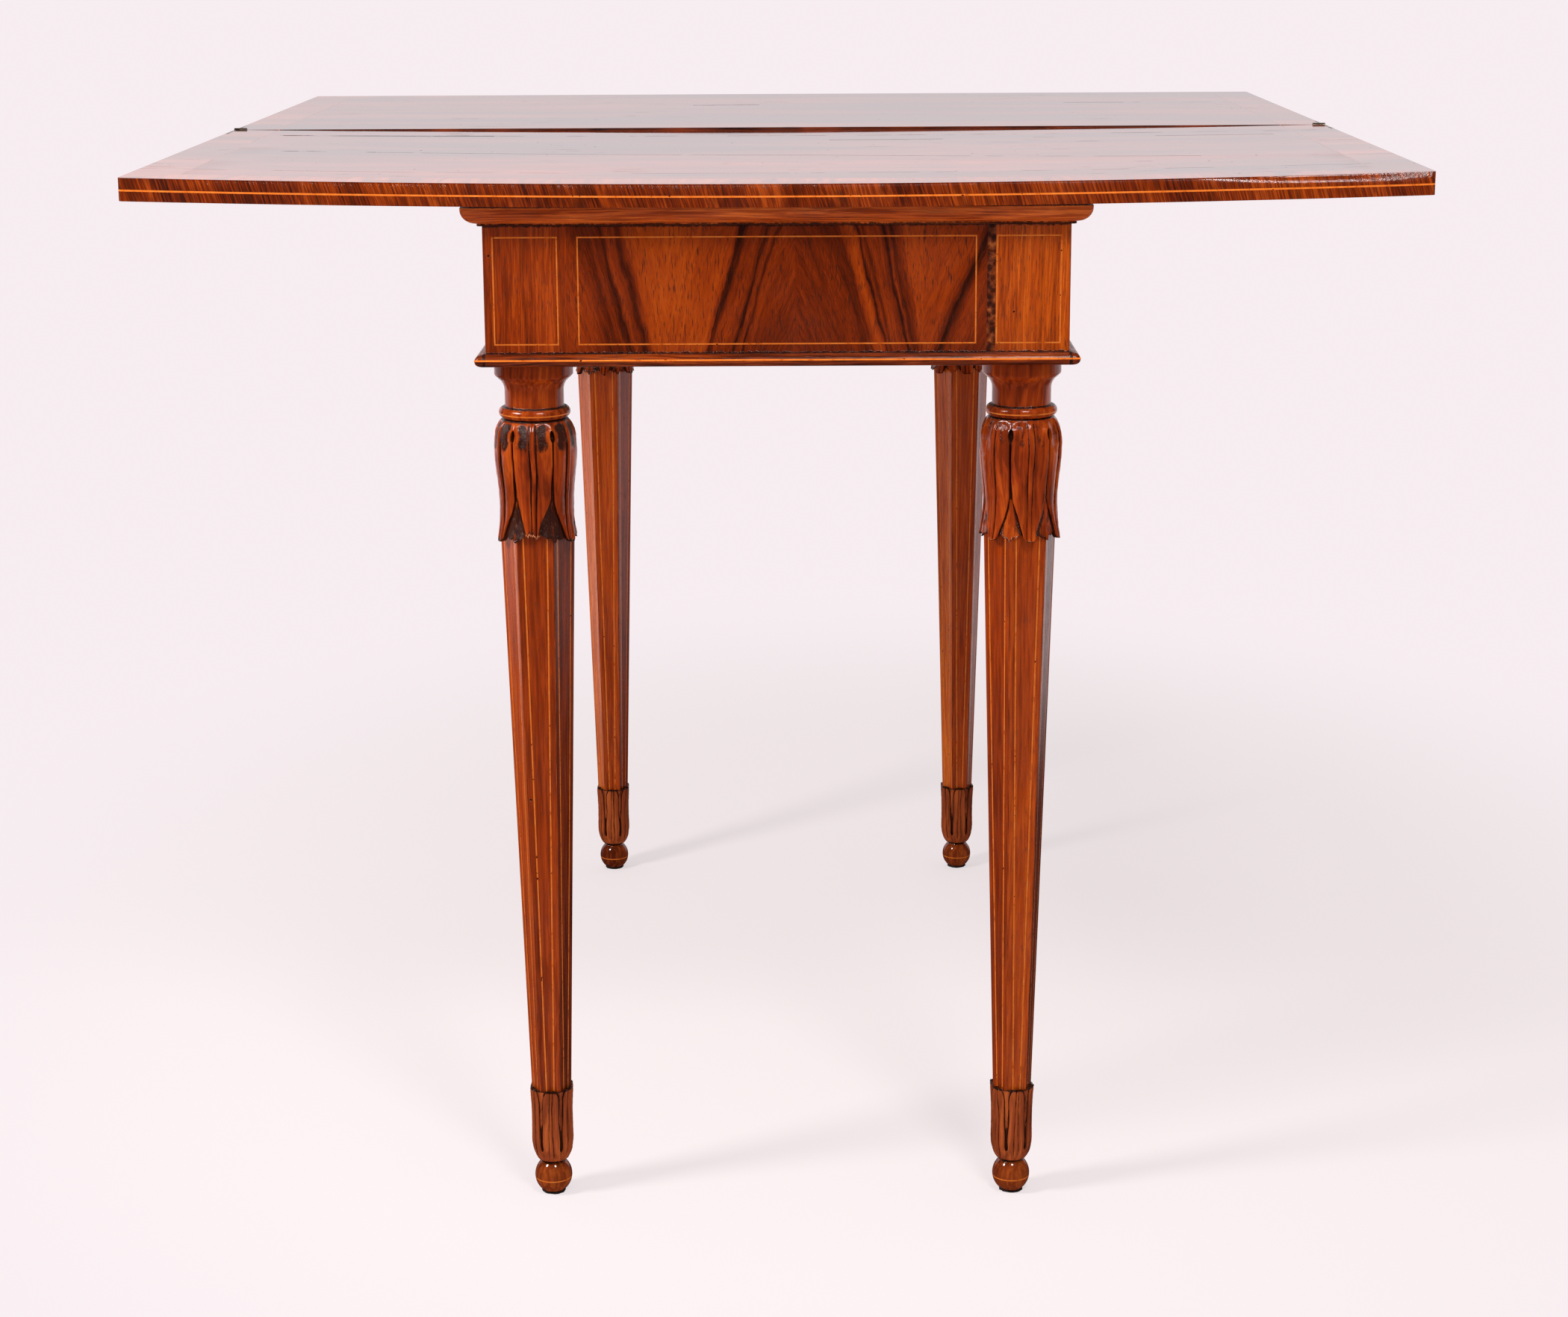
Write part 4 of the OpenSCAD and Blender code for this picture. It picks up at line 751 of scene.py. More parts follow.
def selectEdges(piece, keys):
    # Goes from object mode into edit mode, with these edges of the active piece selected
    bpy.ops.object.mode_set(mode="EDIT")
    bpy.ops.mesh.select_all(action="DESELECT")
    bpy.ops.mesh.select_mode(type="EDGE")
    bpy.ops.object.mode_set(mode="OBJECT")
    for edge in piece.data.edges:
        if edge.key in keys:
            edge.select = True
    bpy.ops.object.mode_set(mode="EDIT")


weldReach = 0.004 * mm


def cleanCopy(node, name):
    # The CAD node's mesh is loose triangles, so its copy is merged and its flat faces joined
    piece = bpy.data.objects.new(name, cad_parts[node].data.copy())
    bpy.context.scene.collection.objects.link(piece)
    piece.data.materials.clear()
    makeActive(piece)
    bpy.ops.object.mode_set(mode="EDIT")
    bpy.ops.mesh.select_all(action="SELECT")
    bpy.ops.mesh.remove_doubles(threshold=weldReach)
    bpy.ops.mesh.dissolve_limited(angle_limit=math.radians(0.06))
    bpy.ops.object.mode_set(mode="OBJECT")
    return piece


def roundEdges(piece, find, width, steps, slot):
    makeActive(piece)
    keys = find(piece.data)
    if keys:
        selectEdges(piece, keys)
        bpy.ops.mesh.bevel(offset=width * mm, segments=steps, profile=0.6, clamp_overlap=True,
                           material=slot, offset_type="OFFSET")
        bpy.ops.object.mode_set(mode="OBJECT")


def smooth(piece, angle):
    # Flat faces keep their own normals, and only the rounding between them is shaded soft
    makeActive(piece)
    bpy.ops.object.shade_smooth_by_angle(angle=math.radians(angle))
    bpy.ops.object.modifier_add(type="WEIGHTED_NORMAL")
    modifier = piece.modifiers[-1]
    modifier.mode = "FACE_AREA"
    modifier.weight = 90
    modifier.keep_sharp = True
    bpy.ops.object.modifier_apply(modifier=modifier.name)


def dress(node, name, body, finishes, choose=None, rounds=(), reshape=None, angle=32):
    # A copy of the CAD node with its own finishes, rounded edges and small changes of shape
    piece = cleanCopy(node, name)
    for finish in finishes:
        piece.data.materials.append(finish)
    for find, width, steps, material in rounds:
        roundEdges(piece, find, width, steps, material)
    if choose:
        for face in piece.data.polygons:
            face.material_index = choose(face.center, face.normal, face.material_index)
    if reshape:
        reshape(piece)
    smooth(piece, angle)
    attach(piece, body)
    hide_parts(node)
    return piece


# Leaves, their bandings and their stringing
leafFinish = {
    "arris": 0.9,       # mm, rounding along the outer edges, above and below
    "buttArris": 0.35,
    "hingeLift": 4.1,   # mm, how much less the front leaf's face sags at the hinge line
    "plateLength": 47,  # mm, the ends of the hinge line where the plates keep their sharp edges
    "plateDepth": 12,
    "leaf": ("leafWalnut", "underWalnut", "shadedButtWalnut", "frontCrossband", "sideCrossband"),
    "banding": ("frontBanding", "sideBanding", "frontCrossband", "sideCrossband", "shadedArris"),
}


def onOuterEdge(point):
    near = min(abs(abs(point.x) - leafHalf), abs(abs(point.y) - leafDepth)) < 0.05 * mm
    onPlate = (abs(point.y) < leafFinish["plateLength"] * mm
               and abs(point.x) > leafHalf - leafFinish["plateDepth"] * mm)
    return near and not onPlate


def arrises(mesh, up):
    # The keys of edges between a face that looks up (or down, with -1) and one that looks sideways
    flat, side = set(), set()
    for face in mesh.polygons:
        if up * face.normal.z > 0.9:
            flat.update(face.edge_keys)
        elif abs(face.normal.z) < 0.3:
            side.update(face.edge_keys)
    return flat & side


def outerArris(mesh, up):
    return arrises(mesh, up) & edgesWhere(mesh, lambda a, b: onOuterEdge(a) and onOuterEdge(b))


def topArris(mesh):
    return outerArris(mesh, 1)


def lowArris(mesh):
    return outerArris(mesh, -1)


def buttArris(mesh):
    return arrises(mesh, 1) & edgesWhere(mesh, lambda a, b: max(abs(a.y), abs(b.y)) < 0.5 * mm)


def chooseLeaf(centre, normal, now):
    hingeLine = abs(centre.y)
    # Faces at the hinge line take the butt finish, darkened as painted shade
    if hingeLine < 0.6 * mm and normal.z > -0.5:
        return 2
    if abs(normal.z) > 0.7:
        return 0 if normal.z > 0 else 1
    if hingeLine < 4 * mm:
        return 2
    return 4 if abs(normal.x) > abs(normal.y) else 3


def chooseBanding(centre, normal, now):
    # Upper faces of the arris rounding take the painted dark line
    if now == 4 and normal.z > 0.55:
        return 4
    side = leafHalf - abs(centre.x) < leafDepth - abs(centre.y)
    if normal.z > 0.7:
        return 1 if side else 0
    return 3 if side else 2


def straighten(piece):
    # The bowed leaf's face rises towards the hinge line, its underside stays
    for vertex in piece.data.vertices:
        spot = vertex.co
        middle = 1 - (spot.x / leafHalf) ** 2
        back = (spot.y + leafDepth) / leafDepth
        under = leafTop - leafBow * middle - leafThick
        height = min(max((spot.z - under) / leafThick, 0), 1)
        spot.z += leafFinish["hingeLift"] * mm * middle * back * height


for which, body in (("fixed", "swivelling_top"), ("folding", "folding_top")):
    reshape = straighten if which == "fixed" else None
    dress(which + "_leaf", which + "Leaf", body, [wood[name] for name in leafFinish["leaf"]],
          chooseLeaf, [(lowArris, leafFinish["arris"], 2, -1), (buttArris, leafFinish["buttArris"], 2, -1)],
          reshape)
    dress(which + "_leaf_banding", which + "Banding", body,
          [wood[name] for name in leafFinish["banding"]],
          chooseBanding, [(topArris, leafFinish["arris"], 3, 4)], reshape)
    piece = dress(which + "_leaf_stringing", which + "Stringing", body,
                  [wood["boxwoodString"], wood["leafString"]],
                  lambda centre, normal, now: 1 if normal.z > 0.7 else 0)
    if reshape:
        reshape(piece)
print("leaves dressed")


# Frame: posts, aprons and mouldings
frameFinish = {
    "postCorner": 0.5,   # mm, rounding of the posts' outer corners
    "mitre": 3.2,        # mm, radius of the mouldings' rounded corners in plan
    "cuts": 5,
    "apron": ("panelVeneer", "sidePanelVeneer"),   # front and rear, then left and right
    "top": ("mouldingWalnutLit", "sideMouldingWalnutLit"),
    "bottom": ("baseWalnut", "sideBaseWalnut"),
}


def onFrameFace(point, axis, slack):
    return abs(abs(point[axis]) - frameHalf[axis]) < slack


def postCorner(mesh):
    hair = 0.01 * mm
    return edgesWhere(mesh, lambda a, b: (a.xy - b.xy).length < hair and abs(a.z - b.z) > 20 * mm
                      and onFrameFace(a, 0, hair) and onFrameFace(a, 1, hair))


def chooseApron(centre, normal, now):
    outside = onFrameFace(centre, 0, 0.5 * mm) or onFrameFace(centre, 1, 0.5 * mm)
    return 0 if outside else 1


def roundMitres(piece, axis):
    # Cuts the ends parallel to their mitres, then draws the outer line in along an arc
    across = 1 - axis
    radius = frameFinish["mitre"] * mm
    outward = 1 if sum(v.co[across] for v in piece.data.vertices) > 0 else -1
    makeActive(piece)
    bpy.ops.object.mode_set(mode="EDIT")
    for end in (1, -1):
        way = [0, 0, 0]
        way[axis] = end
        way[across] = -outward
        for cut in range(1, frameFinish["cuts"] + 1):
            spot = [0, 0, 0]
            spot[axis] = end * (frameHalf[axis] - radius * cut / frameFinish["cuts"])
            spot[across] = outward * frameHalf[across]
            bpy.ops.mesh.select_all(action="SELECT")
            bpy.ops.mesh.bisect(plane_co=spot, plane_no=way)
    bpy.ops.object.mode_set(mode="OBJECT")
    for vertex in piece.data.vertices:
        spot = vertex.co
        out = abs(spot[across]) - frameHalf[across]
        inner = frameHalf[axis] + out - abs(spot[axis])
        bend = min(radius, out)
        if out > 0.1 * mm and inner < bend:
            start = bend * (1 - math.sqrt(0.5))
            new = start + (bend - start) * inner / bend
            drawn = bend - math.sqrt(max(bend ** 2 - (bend - new) ** 2, 0))
            spot[axis] = math.copysign(frameHalf[axis] + out - new, spot[axis])
            spot[across] = math.copysign(frameHalf[across] + out - drawn, spot[across])
    smooth(piece, 35)


for leg in legNames:
    finish = wood["postGolden" if leg.endswith("right") else "postRed"]
    dress("post_" + leg, "post" + camel(leg), "base", [finish, wood["wornArris"]],
          rounds=[(postCorner, frameFinish["postCorner"], 2, 1)])
sideAxis = {"front": 0, "rear": 0, "left": 1, "right": 1}   # the way each side of the frame runs
for side, axis in sideAxis.items():
    veneer = wood[frameFinish["apron"][axis]]
    dress("apron_" + side, side + "Apron", "base", [veneer, wood["innerOak"]], chooseApron)
for row in ("top", "bottom"):
    for side, axis in sideAxis.items():
        piece = dress(row + "_moulding_" + side, side + row.title() + "Moulding", "base",
                      [wood[frameFinish[row][axis]]])
        roundMitres(piece, axis)
dress("moulding_stringing", "mouldingStringing", "base", [wood["boxwoodString"]])
print("frame dressed")


# Legs: their middles, and how far each is turned, from the frame
legMiddle, legTurn = {}, {}
for leg in legNames:
    lowest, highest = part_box("ball_foot_" + leg)
    legMiddle[leg] = (lowest + highest) / 2
    corners = [vertex.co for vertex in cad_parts["shaft_" + leg].data.vertices]
    far = max(corners, key=lambda spot: math.hypot(spot.x - legMiddle[leg].x, spot.y - legMiddle[leg].y))
    turned = math.degrees(math.atan2(far.y - legMiddle[leg].y, far.x - legMiddle[leg].x))
    legTurn[leg] = (turned + 30) % 60 - 30

shaftShape = {
    "top": 515.0, "foot": 80.0, "topWidth": 46.4, "footWidth": 25.6,   # mm, across flats
    "round": 0.5,
    "cornerOut": 26.2,       # mm, the corners' tops lie further out than this, the grooves' don't
    "finishes": ("shaftMid", "wornArris", "shaftGoldenLit", "shaftDarkShaded", "shaftPaleLit"),
}
# Which of those finishes each facet has, anticlockwise from the one that faces right and back. The tones
# are partly the wood's own and partly painted light: facets turned towards the left lamp and the rear legs
# get paler tones, facets turned away from it darker ones.
facetToneAndShade = {
    "front_left": (2, 0, 3, 2, 0, 3),
    "front_right": (0, 2, 0, 0, 2, 3),
    "rear_left": (0, 2, 2, 4, 2, 0),
    "rear_right": (3, 0, 2, 4, 2, 0),
}
firstFacet = 30   # degrees


def dressShaft(leg):
    def longCorners(mesh):
        def test(a, b):
            top = a if a.z > b.z else b
            out = (top.xy - legMiddle[leg].xy).length
            return abs(a.z - b.z) > 0.3 and out > shaftShape["cornerOut"] * mm
        return edgesWhere(mesh, test)

    def chooseFacet(centre, normal, now):
        if now or abs(normal.z) >= 0.5:
            return now
        way = math.degrees(math.atan2(normal.y, normal.x)) - firstFacet
        facet = min(range(6), key=lambda number: abs((way - 60 * number + 180) % 360 - 180))
        return facetToneAndShade[leg][facet]

    dress("shaft_" + leg, "shaft" + camel(leg), "base",
          [wood[name] for name in shaftShape["finishes"]], chooseFacet,
          [(longCorners, shaftShape["round"], 2, 1)], angle=25)


for leg in legNames:
    dressShaft(leg)
print("shafts dressed")


# Turned and carved parts of the legs, modelled once in the leg's own frame for each leg

def smoothStep(value, low, high):
    share = np.clip((value - low) / (high - low), 0, 1)
    return share * share * (3 - 2 * share)


def lathe(name, outline, columns):
    # Spins an outline of (radius, height) points in mm, and tells each vertex's row and column
    clearSelection()
    bpy.ops.mesh.primitive_plane_add(size=0.01, location=(0, 0, 0))
    piece = bpy.context.object
    piece.name = name
    piece.data.name = name
    bpy.ops.object.mode_set(mode="EDIT")
    bpy.ops.mesh.select_mode(type="VERT")
    bpy.ops.mesh.select_all(action="SELECT")
    bpy.ops.mesh.merge(type="CENTER")
    last = Vector((0, 0, 0))
    for number, (radius, height) in enumerate(outline):
        there = Vector((radius, 0, height)) * mm
        if number == 0:
            bpy.ops.transform.translate(value=there - last)
        else:
            bpy.ops.mesh.extrude_region_move(TRANSFORM_OT_translate={"value": there - last})
        last = there
    bpy.ops.mesh.select_all(action="SELECT")
    bpy.ops.mesh.spin(steps=columns, angle=math.tau, center=(0, 0, 0), axis=(0, 0, 1))
    bpy.ops.mesh.select_all(action="SELECT")
    bpy.ops.mesh.remove_doubles(threshold=0.003 * mm)
    bpy.ops.mesh.normals_make_consistent(inside=False)
    bpy.ops.object.mode_set(mode="OBJECT")
    spots = np.empty(len(piece.data.vertices) * 3)
    piece.data.vertices.foreach_get("co", spots)
    spots = spots.reshape(-1, 3) / mm
    away = np.hypot(spots[:, 0], spots[:, 1])
    points = np.array(outline)
    rows = np.argmin((away[:, None] - points[None, :, 0]) ** 2
                     + (spots[:, 2][:, None] - points[None, :, 1]) ** 2, axis=1)
    angle = np.degrees(np.arctan2(spots[:, 1], spots[:, 0])) % 360
    return piece, rows, np.rint(angle / (360 / columns)).astype(int) % columns


def shaftRadius(degrees, height):
    share = (height - shaftShape["foot"]) / (shaftShape["top"] - shaftShape["foot"])
    width = shaftShape["footWidth"] + (shaftShape["topWidth"] - shaftShape["footWidth"]) * share
    return width / 2 / np.cos(np.radians(degrees % 60 - 30))


def setOnLeg(piece, leg, radius, degrees, height, recess=None):
    # Writes the vertices' places from the leg's own round coordinates in mm, and the carving's depth
    way = np.radians(degrees + legTurn[leg])
    spots = np.stack([legMiddle[leg].x + radius * mm * np.cos(way),
                      legMiddle[leg].y + radius * mm * np.sin(way), height * mm], axis=1)
    piece.data.vertices.foreach_set("co", spots.ravel())
    if recess is not None:
        store = piece.data.attributes.new("recess", "FLOAT", "POINT")
        store.data.foreach_set("value", recess.astype(np.float32))
    piece.data.update()


def finishLegPart(piece, material, angle, node=None):
    piece.data.materials.append(material)
    smooth(piece, angle)
    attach(piece, "base")
    if node:
        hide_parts(node)


# A carved leaf's columns, from its middle line: three over the rib, one at the rib's foot, the
# lobes, one before the edge, the edge, its wall, the floors, and the line between two leaves
ribColumn = 2
ribWall = 0.35   # mm


def edgeColumn(s):
    return ribColumn + 3 + len(s["lobes"])


def leafColumns(s, absColumn, rib, edge, half):
    # Distance of each column from its leaf's middle line, along the arc
    inner = rib + ribWall
    outer = edge - np.minimum(0.45, 0.06 * edge)
    wall = edge + np.minimum(0.22, 0.3 * (half - edge))
    steps = [0 * rib, 0.55 * rib, rib, inner]
    steps += [inner + share * (outer - inner) for share in s["lobes"]]
    steps += [outer, edge, wall]
    steps += [wall + share * (half - wall) for share in s["floors"]]
    steps.append(half + 0 * rib)
    table = np.stack(steps, axis=1)
    return table[np.arange(len(absColumn)), absColumn]


def leafGrid(s, rows, columns, outline):
    # For each vertex: its leaf, its column from the middle line, the leaf's edge that it is on, and
    # its turned radius and height
    points = np.array(outline)
    leaf = columns // s["columns"]
    column = columns % s["columns"] - s["columns"] // 2
    return leaf, column, leaf * 2 + (column > 0), points[rows, 0], points[rows, 1]


def layLeaves(s, leaf, column, rib, edge, drift):
    # Each vertex's share of the way from rib to edge and from edge to floor, and its degrees
    half = math.radians(30) * s["arcRadius"]
    along = leafColumns(s, np.abs(column), rib, edge, half)
    onFace = np.clip((along - rib - ribWall) / np.maximum(edge - rib - ribWall, 0.1), 0, 1)
    onFloor = np.clip((along - edge) / np.maximum(half - edge, 0.1), 0, 1)
    arc = np.sign(column) * along + drift * np.clip(1 - along / half, 0, 1)
    degrees = 30 + 60 * leaf + np.degrees(arc / s["arcRadius"])
    return onFace, onFloor, np.where(column == -s["columns"] // 2, 60.0 * leaf, degrees)


def wave(rng, count):
    # Slow hand-made unevenness: a sum of two sines for each leaf or edge
    return [(rng.uniform(0.6, 1.1), rng.uniform(0, math.tau), rng.uniform(1.6, 2.6),
             rng.uniform(0, math.tau)) for item in range(count)]


def waveAt(waves, index, share):
    table = np.array(waves)[index]
    return (0.65 * np.sin(math.tau * table[:, 0] * share + table[:, 1])
            + 0.35 * np.sin(math.tau * table[:, 2] * share + table[:, 3]))


def lumps(degrees, height, size, seed):
    # Small uneven noise on the skin, the same on every run
    way = np.radians(degrees)
    return np.array([mathNoise.noise(Vector((math.cos(a) * 20 / size + seed, math.sin(a) * 20 / size,
                                             h / size))) for a, h in zip(way, height)])


# Capital: collar, neck and ring are turned, the bell below them is carved with six leaves. In mm,
# as distances from the leg's middle line, heights above the floor or drops below the ring.
capitalShape = {
    "columns": 36,                       # round each leaf
    "lobes": (0.12, 0.28, 0.45, 0.62, 0.78, 0.9), "floors": (0.15, 0.35, 0.55, 0.75, 0.9),
    "collar": 28.0, "collarTop": 634.0, "collarFoot": 624.0,
    "flare": 25.0, "flareTop": 621.5, "flareFoot": 613.0,
    "neck": 21.0, "ringUp": 597.5, "ringMiddle": 21.5, "ringRound": 4.0,
    "stringUp": 596.86, "stringHalf": 0.5, "stringDepth": 0.8,
    "bellTop": 593.5, "length": 88.5,
    "shoulder": 29.75, "shoulderDown": 19.5, "waist": 26.7, "waistDown": 62.0, "lip": 30.0,
    "arcRadius": 29.0,
    "eyeDown": 11.0, "eyeHalfHeight": 4.6, "eyeHalfWidth": 2.15,
    "slotHalf": 0.8, "slotLowHalf": 1.65, "splitDown": 57.0, "tipFrom": 84.0, "tipHalf": 4.8,
    "rib": (1.75, 1.15), "ribProud": 0.3,
    "hollow": 2.1, "hollowTo": 28.0, "crevice": 0.95, "eyeDepth": 4.0, "slotDepth": 3.0,
    "secondSide": 2.5, "secondMiddle": 1.5,
    "secondEnds": (82.4, 83.2, 85.0, 84.2, 86.2, 87.3),
    "brokenLeaf": {"front_left": 4},
    "brokenEnds": (82.0, 81.4, 82.6, 83.0, 81.6, 82.4, 81.0, 81.8, 83.2, 82.4, 81.6, 82.0, 82.0),
    "thick": 2.2, "shaftRoom": 0.35,
    "starts": (0.2, 4.5), "opens": (5, 20), "cut": (6.4, 7.2),   # drops over which the carving deepens
    "tipUneven": 1.3, "jag": 0.6, "edgeUneven": (0.22, 0.25), "sway": 0.75,
    "fold": 0.7, "roll": 0.5, "ribFoot": 0.15, "fan": (0.35, 0.3),
    "skin": ((0.22, 4.0), (0.10, 1.6)),   # depth and size of the uneven skin's lumps
    "darker": {"front_left": 1.8, "rear_left": 1.3},
}


def bellRadius(down):
    s = capitalShape
    rise = np.clip(down / s["shoulderDown"], 0, 1)
    top = s["neck"] + (s["shoulder"] - s["neck"]) * np.sqrt(np.clip(1 - (1 - rise) ** 2, 0, 1))
    fall = np.clip((down - s["shoulderDown"]) / (s["waistDown"] - s["shoulderDown"]), 0, 1)
    middle = s["waist"] + (s["shoulder"] - s["waist"]) * (1 + np.cos(np.pi * fall)) / 2
    flare = np.clip((down - s["waistDown"]) / (s["length"] - s["waistDown"]), 0, 1)
    low = s["waist"] + (s["lip"] - s["waist"]) * flare ** 2
    return np.where(down < s["shoulderDown"], top, np.where(down < s["waistDown"], middle, low))


def bellHalf(down):
    # Half width of a main leaf at a drop below the ring
    s = capitalShape
    half = math.radians(30) * s["arcRadius"]
    inEye = np.clip(1 - ((down - s["eyeDown"]) / s["eyeHalfHeight"]) ** 2, 0, 1)
    eye = s["eyeHalfWidth"] * np.sqrt(inEye)
    widening = (s["slotLowHalf"] - s["slotHalf"]) * smoothStep(down, 30, s["splitDown"])
    slot = np.where(down > s["eyeDown"], s["slotHalf"] + widening, 0)
    opening = np.clip((down - s["splitDown"]) / (s["tipFrom"] - s["splitDown"]), 0, 1)
    spread = (opening + smoothStep(opening, 0, 1)) / 2
    edge = half - np.maximum(np.maximum(eye, slot), 0.35)
    edge = edge - spread * (half - s["slotLowHalf"] - s["tipHalf"])
    tip = np.clip((down - s["tipFrom"]) / (s["length"] - s["tipFrom"] + 0.2), 0, 1)
    return np.where(down > s["tipFrom"], s["tipHalf"] * np.sqrt(1 - tip ** 2) + 0.1, edge)


def capitalOutline():
    s = capitalShape
    points = [(0, s["collarTop"]), (s["collar"] - 0.6, s["collarTop"]),
              (s["collar"] - 0.15, s["collarTop"] - 0.15), (s["collar"], s["collarTop"] - 0.6)]
    points += [(s["collar"], z) for z in (631, 628.5, 626, 624.8)]
    points += [(s["collar"] - 0.2, s["collarFoot"] + 0.2), (s["collar"] - 0.7, s["collarFoot"] - 0.4),
               (s["flare"] + 0.9, s["flareTop"] + 0.7)]
    reach = s["flare"] - s["neck"]
    tall = s["flareTop"] - s["flareFoot"]
    bend = (reach ** 2 + tall ** 2) / (2 * reach)
    for number in range(9):
        up = tall * (1 - number / 8)
        points.append((s["neck"] + bend - math.sqrt(bend ** 2 - up ** 2), s["flareFoot"] + up))
    points += [(s["neck"], z) for z in (611, 609, 607, 605, 603, 602)]
    for number in range(17):
        way = math.radians(95 - 190 * number / 16)
        spot = (s["ringMiddle"] + s["ringRound"] * math.cos(way),
                s["ringUp"] + s["ringRound"] * math.sin(way))
        if abs(spot[1] - s["stringUp"]) > s["stringHalf"] + 0.15:
            points.append(spot)
    out = s["ringMiddle"] + s["ringRound"]
    groove = [(out - 0.02, s["stringUp"] + s["stringHalf"]),
              (out - s["stringDepth"], s["stringUp"] + s["stringHalf"] - 0.05),
              (out - s["stringDepth"], s["stringUp"] - s["stringHalf"] + 0.05),
              (out - 0.14, s["stringUp"] - s["stringHalf"])]
    below = [number for number, (radius, height) in enumerate(points)
             if radius > s["neck"] + 1 and height < s["stringUp"] - 0.6]
    points[below[0]:below[0]] = groove
    return points


def bellDrops():
    s = capitalShape
    drops = [0.15, 0.5, 1, 1.7, 2.6, 3.8, 5.0, 6.0, 6.4, 6.7, 7.1, 7.7, 8.5, 9.5, 10.6, 11.8, 13,
             14, 14.8, 15.4, 16, 17]
    drops += list(np.arange(18.2, s["splitDown"], 1.35))
    drops += list(np.arange(s["splitDown"] + 0.6, s["tipFrom"], 1.2))
    drops += [84.6, 85.4, 86.2, 87, 87.6, 88.1, s["length"]]
    return drops


